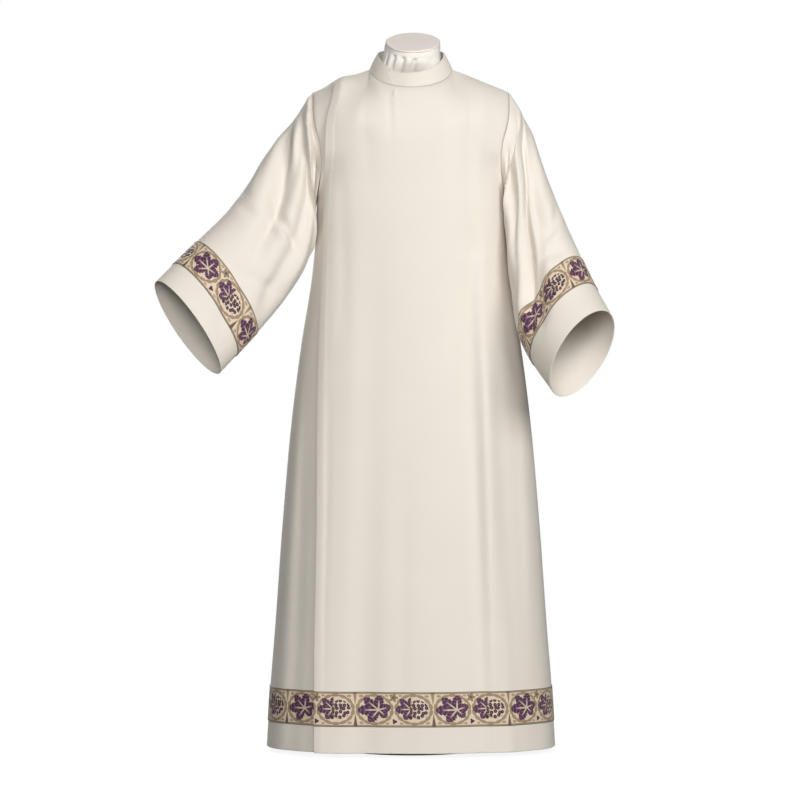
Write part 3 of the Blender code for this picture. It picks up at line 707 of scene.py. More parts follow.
@dataclass(frozen=True)
class BrushedSteel(Finish):
    """Satin steel with fine marks round it."""

    def inputs(self, g: Graph) -> dict[str, Signal | float]:
        """Tone, roughness and bump from noise drawn out along the surface's turn."""
        x, y, z = g.split(g.object_place())
        lines = g.noise(g.vector(x * 8.0, y * 8.0, z * 900.0), 1.0, 4.0)
        return {
            "Base Color": g.mix(lines, self.colour, self.shade(0.8)),
            "Roughness": lines * 0.22 + (self.roughness - 0.11),
            "Normal": g.bump(lines, 0.12, 0.0003),
            "Metallic": 1.0,
        }


# Lobes of a vine leaf: direction from the leaf's stalk in degrees, length and half width, in band
# widths
LEAF = Table(
    "direction length half",
    (181.0, 0.56, 0.15),
    (141.0, 0.5, 0.125),
    (86.0, 0.385, 0.14),
    (16.0, 0.33, 0.125),
    (-42.0, 0.29, 0.115),
    (229.0, 0.42, 0.14),
)


def leaf_group() -> bpy.types.NodeTree:
    """A vine leaf in band widths about its stalk.

    Each lobe is the region where the distance from its own middle line is less than the half width
    times a power of four times the share of the length times its rest, with a toothed edge. The rib
    is the middle line, and the veins are slanted lines off it.

    Returns:
        A group with the outputs Blade, Vein and Rib.
    """
    g = Group("vine_leaf", "X Y", "Blade Vein Rib")
    x, y = g.given[:2]
    blades, veins, ribs = [], [], []
    for direction, length, half in LEAF.rows():
        c, s = math.cos(math.radians(direction)), math.sin(math.radians(direction))
        share = (x * c + y * s) / length
        away = abs(y * c - x * s) / half
        teeth = g.math("SINE", share * 34.0) * 0.11 + 1.0
        swell = g.math("MAXIMUM", share, 0.0) ** 1.3
        edge = g.math("MAXIMUM", swell * (1.0 - swell) * 4.0, 0.0) ** 0.55 * teeth
        blade = g.step(edge - away, 0.02, 0.16)
        slant = abs(g.math("FRACT", share * 4.2 - away * 0.8) - 0.5)
        blades.append(blade)
        veins.append(g.step(slant, 0.15, 0.06) * g.step(edge - away, 0.16, 0.30) * g.step(share, 0.20, 0.30))
        ribs.append(g.step(away, 0.20, 0.09) * g.step(share, 0.80, 0.35) * g.step(share, -0.02, 0.03))
    return g.give(g.most(*blades), g.most(*veins), g.most(*ribs))


@dataclass(frozen=True)
class PaleFloor(Finish):
    """Pale floor that fades out towards its edge and glows to the camera only."""

    radius: float = 2.6
    glow: float = 0.90
    fade: tuple[float, float] = (0.92, 0.55)
    second: Colour = (0.17, 0.17, 0.17)

    def inputs(self, g: Graph) -> dict[str, Signal | float | Colour]:
        """Tone from a wide noise, and cover that falls with the distance from the middle."""
        place = g.object_place()
        x, y, _ = g.split(place)
        return {
            "Base Color": g.mix(g.noise(place, 3.0), self.colour, self.second),
            "Emission Color": (1.0, 1.0, 1.0),
            "Emission Strength": g.to_camera() * self.glow,
            "Alpha": g.step((x * x + y * y) ** 0.5, self.radius * self.fade[0], self.fade[1]),
            "Specular IOR Level": 0.1,
        }


@dataclass(frozen=True)
class VineGalloon(Finish):
    """Woven band: a vine leaf and a leaf with grapes by turns, in ovals of twined scroll."""

    leaf: bpy.types.NodeTree | None = None
    weave: bpy.types.NodeTree | None = None
    width: float = BAND_WIDTH
    pitch: float = 1.135
    oval: tuple[float, float] = (0.510, 0.410)
    violet: Colour = (0.058, 0.010, 0.046)
    lavender: Colour = (0.270, 0.105, 0.235)
    berry: Colour = (0.030, 0.008, 0.020)
    gold: Colour = (0.310, 0.215, 0.130)
    olive: Colour = (0.125, 0.092, 0.050)
    rib: float = 0.0008

    def inputs(self, g: Graph) -> dict[str, Signal | float]:
        """Colours laid over each other by the masks, and a bump where the pattern stands up."""
        u, v, _ = g.split(g.flat_place())
        x, y = u / self.width, v / self.width
        first, second, joint, other = (
            g.math("WRAP", x - self.pitch * shift, self.pitch, -self.pitch) for shift in (0.0, 1.0, 0.5, -0.5)
        )
        scroll = g.most(self.ring(g, first, y), self.ring(g, second, y))
        large = g.use(self.leaf, (second - 0.12) / 1.10, (y + 0.01) / 1.06)
        small = g.use(self.leaf, (first + 0.075) / 0.80, (y - 0.01) / 0.90)
        cut = g.step(first, -0.045, -0.070)
        blade, vein, rib = (g.most(one, two * cut) for one, two in zip(large, small))
        berries, shine = self.grapes(g, first, y)
        stem = g.step(abs(first + 0.030 - y * 0.22), 0.026, 0.014) * g.step(abs(y), 0.27, 0.24)
        taper = (abs(y) - 0.12) * 0.16
        stalks = g.step(abs(joint) - taper, 0.008, -0.006) * g.step(abs(y), 0.10, 0.16)
        high = y - 0.345
        rosette = self.disc(g, other, high, 0.125, 5.0)
        halo = rosette * (1.0 - self.disc(g, other, high, 0.100, 5.0))
        heart = self.disc(g, other, high, 0.040, 0.0)
        bud = self.disc(g, other, y + 0.345, 0.075, 3.0)
        curls = g.most(
            self.disc(g, abs(joint) - 0.175, abs(y) - 0.385, 0.062, 2.0),
            self.disc(g, abs(other) - 0.200, abs(y) - 0.400, 0.050, 2.0),
        )
        lines = g.step(abs(abs(y) - 0.462), 0.018, 0.010)
        edge = g.step(abs(y), 0.482, 0.488)
        shadow = stalks * g.step(y, 0.0, -0.2)
        # Painted shade: the ground is darker between the ribs, where the thread is low
        thread = abs(g.math("SINE", u * (math.pi / self.rib)))
        height, tone = g.use(self.weave, u, v, self.rib / 2)
        colour = g.mix(thread, self.shade(0.84), self.colour)
        for mask, paint in (
            (g.most(scroll, stem, curls * 0.8), self.gold),
            (g.most(stalks, rosette), self.gold),
            (g.most(self.outline(g, scroll), halo, heart, lines * 0.8, edge, shadow), self.olive),
            (g.most(blade, bud), self.violet),
            (vein * 0.90, self.lavender),
            (self.outline(g, blade), self.berry),
            (rib * 0.85, self.colour),
            (berries, self.berry),
            (shine, self.lavender),
        ):
            colour = g.mix(mask * (tone * 0.5 + 0.5), colour, paint)
        raised = g.most(scroll * 0.6, blade * 0.8, vein, berries, rosette, stalks, lines * 0.8, stem * 0.5)
        pattern = g.bump(raised, 0.35, 0.0005)
        return {
            "Base Color": colour,
            "Normal": g.bump(thread * 0.6 + height * 0.4, 0.30, 0.0003, pattern),
            "Sheen Weight": 0.15,
            "Specular IOR Level": 0.4,
        }

    def ring(self, g: Graph, x: Signal, y: Signal) -> Signal:
        """Two strands twined round an oval: its radius plus and less a sine of the turn."""
        across, up = x / self.oval[0], y / self.oval[1]
        reach = (across * across + up * up) ** 0.5 - 1.0
        wave = g.math("SINE", g.math("ARCTAN2", up, across) * 7.0) * 0.055
        return g.most(*(g.step(abs(strand), 0.062, 0.032) for strand in (reach - wave, reach + wave)))

    def outline(self, g: Graph, mask: Signal) -> Signal:
        """A thin dark line where a mask is half way."""
        return g.step(abs(mask - 0.35), 0.26, 0.08) * 0.75

    def disc(self, g: Graph, x: Signal, y: Signal, radius: float, petals: float) -> Signal:
        """A disc whose radius swells once for each petal."""
        swell = g.math("COSINE", g.math("ARCTAN2", y, x) * petals) * 0.22 + 0.82
        return g.step((x * x + y * y) ** 0.5 / radius - swell, 0.08, -0.08)

    def grapes(self, g: Graph, x: Signal, y: Signal) -> tuple[Signal, Signal]:
        """Berries in a loose lattice within an egg shape, each with a small light spot."""
        cells = {"Vector": g.vector(x, y), "Scale": 8.8, "Randomness": 0.42}
        reach = g.one("ShaderNodeTexVoronoi", cells, "Distance", voronoi_dimensions="2D")
        wide = (x - 0.165) / 0.29
        high = y / (0.31 - x * 0.16)
        inside = g.step(wide * wide + high * high, 1.0, 0.86)
        lone = self.disc(g, x + 0.10, y + 0.235, 0.050, 0.0)
        return g.most(g.step(reach, 0.50, 0.42) * inside, lone), g.step(reach, 0.20, 0.09) * inside


def crease_offsets(u: Array, v: Array, creases: Table, around: float = 0.0) -> Array:
    """Sum of listed creases over a flat cloth.

    Each crease is a quadratic curve through its start, its middle (as a control point) and its end.
    Its offset is the depth times a bell of the distance from the curve over the half width, less a
    wider, weaker bell of the opposite sign beside it, times a taper that runs out at both ends.

    Args:
        u: Places across, in metres.
        v: Places along, in metres.
        creases: The creases' table.
        around: Girth of a closed ring, or 0 for an open panel.

    Returns:
        Offsets along the outward normal, in metres.
    """
    total = np.zeros(np.broadcast(u, v).shape)
    steps = np.linspace(0.0, 1.0, 15)
    for u0, v0, u1, v1, u2, v2, width, depth in creases.rows():
        line_u, line_v = (
            (1 - steps) ** 2 * start + 2 * steps * (1 - steps) * control + steps**2 * end
            for start, control, end in ((u0, u1, u2), (v0, v1, v2))
        )
        nearest = np.full(total.shape, np.inf)
        at = np.zeros(total.shape)
        for k, (run_u, run_v) in enumerate(zip(np.diff(line_u), np.diff(line_v))):
            du = u - line_u[k]
            if around:
                du = (du + around / 2) % around - around / 2
            dv = v - line_v[k]
            along = np.clip((du * run_u + dv * run_v) / (run_u**2 + run_v**2), 0.0, 1.0)
            distance = (du - along * run_u) ** 2 + (dv - along * run_v) ** 2
            closer = distance < nearest
            nearest = np.where(closer, distance, nearest)
            at = np.where(closer, (k + along) * steps[1], at)
        share = nearest / width**2
        taper = np.sin(math.pi * (CREASE_START + (1 - 2 * CREASE_START) * at)) ** 0.8
        total += depth * taper * (np.exp(-share) - BESIDE_SHARE * np.exp(-share / BESIDE_SPREAD))
    return total


@dataclass(frozen=True)
class BodyForm:
    """Form of the robe's body, from the same sizes as the solids."""

    cloth: float = CLOTH
    seam: float = SEAM
    hem_z: float = 0.010
    underarm_z: float = 1.205
    tip_z: float = 1.434
    neck_point_z: float = 1.484
    level_to_z: float = 0.90
    tip_x: float = 0.2135
    neck_x: float = 0.090
    neck_front: float = 0.087
    neck_back: float = 0.055
    slope_front: float = 0.506
    slope_back: float = 0.25
    split_x: float = 0.115
    neck_spread: float = 0.060
    round_drop: float = 0.130
    round_side: float = 0.120
    armhole_front: float = 0.062
    armhole_back: float = 0.066
    clear_front: float = 0.006
    clear_back: float = 0.004
    fold_fade: float = 0.35
    tip_power: float = 0.5
    neck_power: float = 0.6
    edge_hold: float = 6.0
    edge_tighter: float = 30.0
    edge_reach: float = 0.100
    edge_lift_reach: float = 0.055
    under_gap: float = LAYER_GAP

    @property
    def lap(self) -> float:
        """How far in the under front lies: one cloth and a small gap."""
        return self.cloth + self.under_gap

    @property
    def armhole_span(self) -> tuple[float, float]:
        """Middle height and half height of the armhole."""
        return (self.tip_z + self.underarm_z) / 2, (self.tip_z - self.underarm_z) / 2

    def side_width(self, z: Array) -> Array:
        """Half width at the sides: the body's, drawn to the shoulder tip's over the rounding above it."""
        return self.tip_x + (BODY.read("half", z) - self.tip_x) * ease((self.tip_z - z) / self.round_side)

    def armhole_depth(self, z: Array, widest: float) -> Array:
        """Half depth of the armhole: an ellipse between shoulder tip and underarm, 0 below.

        Args:
            z: Heights.
            widest: Half depth at the ellipse's middle.

        Returns:
            Half depths.
        """
        middle, reach = self.armhole_span
        inside = np.clip(1 - ((z - middle) / reach) ** 2, 0.0, 1.0)
        return np.where(z > self.underarm_z, widest * np.sqrt(inside), 0.0)

    def top_edge(self, x_plain: Array, face: Face) -> tuple[Array, Array, Array]:
        """Shoulder line and neckline: a straight slope, then a quarter ellipse round the neck.

        Args:
            x_plain: Plain places across at the shoulder's height.
            face: Front or back.

        Returns:
            X, Y and Z of the top edge.
        """
        reach = np.abs(x_plain)
        along = np.clip((reach - self.split_x) / (self.tip_x - self.split_x), 0.0, 1.0)
        turn = np.clip(reach / self.split_x, 0.0, 1.0) * math.pi / 2
        on_neck = reach < self.split_x
        front = face is Face.FRONT
        depth = self.neck_front if front else self.neck_back
        slope = -self.slope_front if front else self.slope_back
        beside = self.neck_x + (self.tip_x - self.neck_x) * along
        x = np.where(on_neck, self.neck_x * np.sin(turn), beside)
        y = np.where(on_neck, depth * np.cos(turn), 0.0)
        drop = (self.tip_z - self.neck_point_z) * along
        z = np.where(on_neck, self.neck_point_z + slope * y, self.neck_point_z + drop)
        return x * np.sign(x_plain), y * face.value, z

    def softness(self, top_x: Array, top_y: Array) -> Array:
        """Rounding power along the top edge: quick at the shoulder tip, sloping beside the neck."""
        beside = 1 - np.clip((np.abs(top_x) - self.neck_x) / self.neck_spread, 0.0, 1.0)
        middle = np.clip(np.abs(top_y) / self.neck_back, 0.0, 1.0)
        return self.tip_power + self.neck_power * beside * (1 - 0.6 * middle)

    def folds(self, table: Table, across: Array, height: Array) -> Array:
        """Sum of the panel's soft folds: bells across, drifting from the top place to the hem's.

        Args:
            table: The folds.
            across: Places across.
            height: Heights.

        Returns:
            Offsets in Y, in metres.
        """
        total = np.zeros(np.broadcast(across, height).shape)
        share = np.clip(height / self.underarm_z, 0.0, 1.0)
        for top, hem, width, depth, high in table.rows():
            middle = hem + (top - hem) * share
            strength = ease((high - height) / self.fold_fade + 1) * (1 - 0.55 * share)
            total += depth * strength * np.exp(-(((across - middle) / width) ** 2))
        return total

    def plain_x(self, angle: Array, z: Array) -> Array:
        """Place across of a section angle: the half width times a power of the angle's sine."""
        power = 2 / BODY.read("square", z)
        return np.sign(angle) * BODY.read("half", z) * np.abs(np.sin(angle)) ** power

    def angle_of(self, x: Array, z: Array) -> Array:
        """Section angle of a place across: the arc sine of a power of its share of the half width."""
        share = np.clip(np.abs(x) / BODY.read("half", z), 0.0, 1.0)
        return np.sign(x) * np.arcsin(share ** (BODY.read("square", z) / 2))

    def surface(self, angle: Array, row_z: Array, face: Face, folds: Table) -> Array:
        """Outer face of the body: a squared ellipse at each height that rounds over to its top edge.

        Args:
            angle: Section angles, rows by columns.
            row_z: Heights at the sides, rows by columns.
            face: Front or back.
            folds: The panel's soft folds.

        Returns:
            Points, rows by columns by 3.
        """
        tip = np.full(angle.shape, self.tip_z)
        top_x, top_y, top_z = self.top_edge(self.plain_x(angle, tip), face)
        rise = np.clip((row_z - self.level_to_z) / (self.tip_z - self.level_to_z), 0.0, 1.0)
        z = row_z + (top_z - self.tip_z) * rise**2
        front = face is Face.FRONT
        body = BODY.read("front" if front else "back", z)
        edge = self.armhole_depth(z, self.armhole_front if front else self.armhole_back)
        bow = np.abs(np.cos(angle)) ** (2 / BODY.read("square", z))
        hold = self.edge_hold + self.edge_tighter * (1 - ease((z - self.underarm_z) / self.edge_reach))
        x = self.plain_x(angle, z)
        y = face.value * (body * bow + edge * (1 - bow) * np.abs(np.sin(angle)) ** hold)
        y = y + face.value * self.folds(folds, x, z) * np.abs(np.cos(angle)) ** 0.5
        drop = top_z - z
        t = np.clip(drop / self.round_drop, 0.0, 1.0)
        y = top_y + (y - top_y) * (1 - (1 - t) ** 2) ** self.softness(top_x, top_y)
        x = top_x + (x - top_x) * ease(drop / self.round_side)
        return np.stack([x, y, z], axis=-1)

    def side_reach(self, y: Array, z: Array) -> Array:
        """How far the body reaches sideways at a depth and a height.

        Args:
            y: Depths.
            z: Heights.

        Returns:
            Half widths of the squared ellipse beyond the armhole's edge.
        """
        front = y < 0
        edge = self.armhole_depth(z, 1.0) * np.where(front, self.armhole_front, self.armhole_back)
        before, behind = BODY.read("front", z) + self.clear_front, BODY.read("back", z) + self.clear_back
        body = np.where(front, before, behind)
        q = np.clip((np.abs(y) - edge) / (body - edge), 0.0, 1.0)
        square = BODY.read("square", z)
        return self.side_width(z) * (1 - q**square) ** (1 / square)

    def armhole_ring(self, turn: Array) -> Array:
        """The armhole's loop at shares of a turn: 0 under, 0.25 front, 0.5 top, 0.75 back.

        Args:
            turn: Shares of a turn.

        Returns:
            Points of the loop.
        """
        middle, reach = self.armhole_span
        z = middle - reach * np.cos(turn * 2 * math.pi)
        front = np.sin(turn * 2 * math.pi) > 0
        depth = self.armhole_depth(z, 1.0) * np.where(front, self.armhole_front, self.armhole_back)
        t = np.clip((self.tip_z - z) / self.round_drop, 0.0, 1.0)
        y = np.where(front, -1, 1) * depth * (1 - (1 - t) ** 2) ** 0.5
        return np.stack([self.side_width(z), y, z], axis=-1)


def linked(name: str, data: bpy.types.ID) -> bpy.types.Object:
    """A new object in the scene, with its mesh, light or camera."""
    holder = bpy.data.objects.new(name, data)
    bpy.context.scene.collection.objects.link(holder)
    return holder


def again(items: Array) -> Array:
    """Rows with their first column again at the end."""
    return np.concatenate([items, items[:, :1]], axis=1)


class MeshBuilder:
    """Collects vertices, quads and triangles as arrays and makes a mesh of them."""

    def __init__(self) -> None:
        """Starts with nothing."""
        self.vertices: list[Array] = []
        self.flats: list[Array] = []
        self.faces: list[Array] = []
        self.flat_faces: list[Array] = []

    def add(self, points: Array) -> Array:
        """Adds points and returns their numbers."""
        return self._keep(self.vertices, points)

    def add_flat(self, places: Array) -> Array:
        """Adds flat places and returns their numbers."""
        return self._keep(self.flats, places)

    def _keep(self, kept: list[Array], items: Array) -> Array:
        """Adds rows of numbers to a list and returns where they stand, in the shape they came in."""
        start = sum(map(len, kept))
        kept.append(items.reshape(-1, items.shape[-1]))
        return np.arange(start, start + len(kept[-1])).reshape(items.shape[:-1])

    def add_rings(self, points: Array) -> Array:
        """Adds closed rows of points and returns their numbers, with the first column again at the end."""
        return again(self.add(points))

    def grid(self, index: Array, places: Array) -> None:
        """Quads over a grid of vertex numbers, with the matching grid of flat places.

        Args:
            index: Vertex numbers, rows by columns, counter-clockwise seen from outside.
            places: Flat places' numbers of the same shape.
        """
        for source, target in ((index, self.faces), (places, self.flat_faces)):
            corners = (source[:-1, :-1], source[:-1, 1:], source[1:, 1:], source[1:, :-1])
            target.append(np.stack(corners, axis=-1).reshape(-1, 4))

    def corner(self, index: list[int], place: int) -> None:
        """One quad that closes a rim's corner."""
        self.faces.append(np.array([index]))
        self.flat_faces.append(np.full((1, 4), place))

    def fan(self, index: Array, places: Array, point: Array, pole_place: int = 0) -> None:
        """Triangles from a line of vertices to one pole, which it adds.

        Args:
            index: Vertex numbers of the line, in the grid's sense of turning.
            places: Flat places' numbers of the line.
            point: The pole.
            pole_place: The pole's flat place.
        """
        pole = self.add(point[None])[0]
        for source, tip, target in ((index, pole, self.faces), (places, pole_place, self.flat_faces)):
            target.append(np.stack([source[:-1], source[1:], np.full(len(source) - 1, tip)], axis=-1))

    def build(self, name: str, sharp: float = 50.0) -> bpy.types.Object:
        """Makes the object, with its faces turned outwards, by the sign of the volume that they enclose.

        Args:
            name: The object's name.
            sharp: Angle in degrees past which an edge is drawn sharp.

        Returns:
            The linked object.
        """
        vertices = np.concatenate(self.vertices)
        volume = 0.0
        for face in self.faces:
            for k in range(1, face.shape[1] - 1):
                first, second, third = (vertices[face[:, corner]] for corner in (0, k, k + 1))
                volume += np.sum(first * np.cross(second, third))
        turn = slice(None, None, -1 if volume < 0 else 1)
        loops, corners = (
            np.concatenate([face[:, turn].ravel() for face in faces] or [[]]).astype(np.int32)
            for faces in (self.faces, self.flat_faces)
        )
        sizes = np.concatenate([np.full(len(face), face.shape[1]) for face in self.faces])
        mesh = bpy.data.meshes.new(name)
        mesh.vertices.add(len(vertices))
        mesh.loops.add(len(loops))
        mesh.polygons.add(len(sizes))
        mesh.vertices.foreach_set("co", vertices.astype(np.float32).ravel())
        mesh.loops.foreach_set("vertex_index", loops)
        mesh.polygons.foreach_set("loop_start", (np.cumsum(sizes) - sizes).astype(np.int32))
        if self.flats:
            places = np.concatenate(self.flats)[corners]
            mesh.uv_layers.new(name=FLAT_MAP).uv.foreach_set("vector", places.astype(np.float32).ravel())
        mesh.update(calc_edges=True)
        mesh.validate()
        mesh.shade_smooth()
        mesh.set_sharp_from_angle(angle=math.radians(sharp))
        return linked(name, mesh)


@dataclass
class ClothGrid:
    """A stretch of cloth as a grid: outer points, outward normals, and flat places in metres."""

    points: Array
    normals: Array
    flat: Array
    closed: bool = False

    def wall(self, name: str, thickness: Array | float, rim: float = 0.35) -> bpy.types.Object:
        """A closed shell: the outer grid, an inner one a thickness further in, and a rounded rim.

        The rim is a line of points midway between the two grids, moved out along the edge by a
        share of the thickness.

        Args:
            name: The object's name.
            thickness: Thickness of the cloth, one value or rows by columns.
            rim: How far the rim's middle stands out, as a share of the thickness.

        Returns:
            The mesh object, with its flat places as a UV map.
        """
        deep = np.broadcast_to(np.asarray(thickness, dtype=float), self.points.shape[:2])[..., None]
        inner = self.points - deep * self.normals
        builder = MeshBuilder()
        add = builder.add_rings if self.closed else builder.add
        numbers = [add(points) for points in (self.points, inner)]
        flat = builder.add_flat(self.flat)
        builder.grid(numbers[0], flat)
        builder.grid(numbers[1][:, ::-1], flat[:, ::-1])
        rims = {}
        for axis in (0,) if self.closed else (0, 1):
            for end, beside in ((0, 1), (-1, -2)):
                outer, within, near, reach = (
                    np.take(lines, at, axis=axis)
                    for lines, at in ((self.points, end), (inner, end), (self.points, beside), (deep, end))
                )
                middle = (outer + within) / 2 + unit(outer - near) * (reach * rim)
                index = add(middle[None])[0]
                edges = [np.take(grid, end, axis=axis) for grid in (*numbers, flat)]
                way = slice(None, None, 1 if (axis == 0) != (end == 0) else -1)
                for first, second in ((edges[0], index), (index, edges[1])):
                    builder.grid(np.stack([first, second])[way], np.stack([edges[2]] * 2))
                rims[axis, end] = index
        if not self.closed:
            for row, col in ((0, 0), (0, -1), (-1, 0), (-1, -1)):
                ends = [grid[row, col] for grid in numbers[:: -1 if row == col else 1]]
                builder.corner([ends[0], rims[0, row][col], ends[1], rims[1, col][row]], flat[row, col])
        return builder.build(name)

    def trace(self, across: float) -> tuple[Array, Array]:
        """A line up the cloth at a distance from its first column.

        Args:
            across: The distance in metres.

        Returns:
            Points and normals, one for each row.
        """
        along = arc(self.points, 1)
        after = np.clip((along < across).sum(axis=1), 1, along.shape[1] - 1)
        rows = np.arange(len(along))
        low, high = along[rows, after - 1], along[rows, after]
        share = ((across - low) / (high - low))[:, None]
        points, normals = (
            g[rows, after - 1] * (1 - share) + g[rows, after] * share for g in (self.points, self.normals)
        )
        return points, unit(normals)

    def narrowed(self, width: float) -> "ClothGrid":
        """The grid cut to one width, measured along each column back from its last row.

        Args:
            width: The width in metres; a shorter column keeps its own.

        Returns:
            A grid with as many rows.
        """
        back = arc(self.points[::-1], 0)
        wanted = np.linspace(1.0, 0.0, len(back))[:, None] * np.minimum(width, back[-1])
        after = np.clip((back[:, None] < wanted[None]).sum(axis=0), 1, len(back) - 1)
        low, high = (np.take_along_axis(back, i, axis=0) for i in (after - 1, after))
        share = ((wanted - low) / (high - low))[..., None]
        points, normals = (
            np.take_along_axis(g[::-1], after[..., None] - 1, axis=0) * (1 - share)
            + np.take_along_axis(g[::-1], after[..., None], axis=0) * share
            for g in (self.points, self.normals)
        )
        return ClothGrid(points, unit(normals), self.flat, self.closed)

    def sample(self, x: Array, z: Array) -> tuple[Array, Array]:
        """Points of the front at places across and heights, weighted from the four nearest.

        Args:
            x: Places across.
            z: Heights.

        Returns:
            Points and normals.
        """
        points, normals = self.points.reshape(-1, 3), self.normals.reshape(-1, 3)
        away = (points[None, :, 0] - x[:, None]) ** 2 + (points[None, :, 2] - z[:, None]) ** 2
        nearest = np.argsort(away, axis=1)[:, :4]
        weights = 1 / (np.take_along_axis(away, nearest, axis=1) + 1e-9)
        weights /= weights.sum(axis=1, keepdims=True)
        found = np.einsum("ij,ijk->ik", weights, points[nearest])
        found[:, 0], found[:, 2] = x, z
        return found, unit(np.einsum("ij,ijk->ik", weights, normals[nearest]))


def grid_normals(points: Array, middle: Array, closed: bool = False) -> Array:
    """Unit normals of a grid: the cross product of its differences both ways, lightly smoothed.

    Args:
        points: Rows by columns by 3.
        middle: A point, or one for each row, that the normals look away from on the whole.
        closed: True if the last column joins the first.

    Returns:
        Normals of the same shape, all on one side.
    """
    wide = np.concatenate([points[:, -3:], points, points[:, :3]], axis=1) if closed else points
    n = unit(np.cross(np.gradient(wide, axis=1), np.gradient(wide, axis=0)))
    n[1:-1] = (n[:-2] + 2 * n[1:-1] + n[2:]) / 4
    n[:, 1:-1] = (n[:, :-2] + 2 * n[:, 1:-1] + n[:, 2:]) / 4
    n = unit(n)[:, 3:-3] if closed else unit(n)
    return -n if np.sum(n * (points - middle)) < 0 else n


def arc(points: Array, axis: int) -> Array:
    """Length along a grid's lines from their first points: the sum of the steps' lengths."""
    steps = np.linalg.norm(np.diff(points, axis=axis), axis=-1)
    start = np.zeros_like(np.take(steps, [0], axis=axis))
    return np.concatenate([start, np.cumsum(steps, axis=axis)], axis=axis)


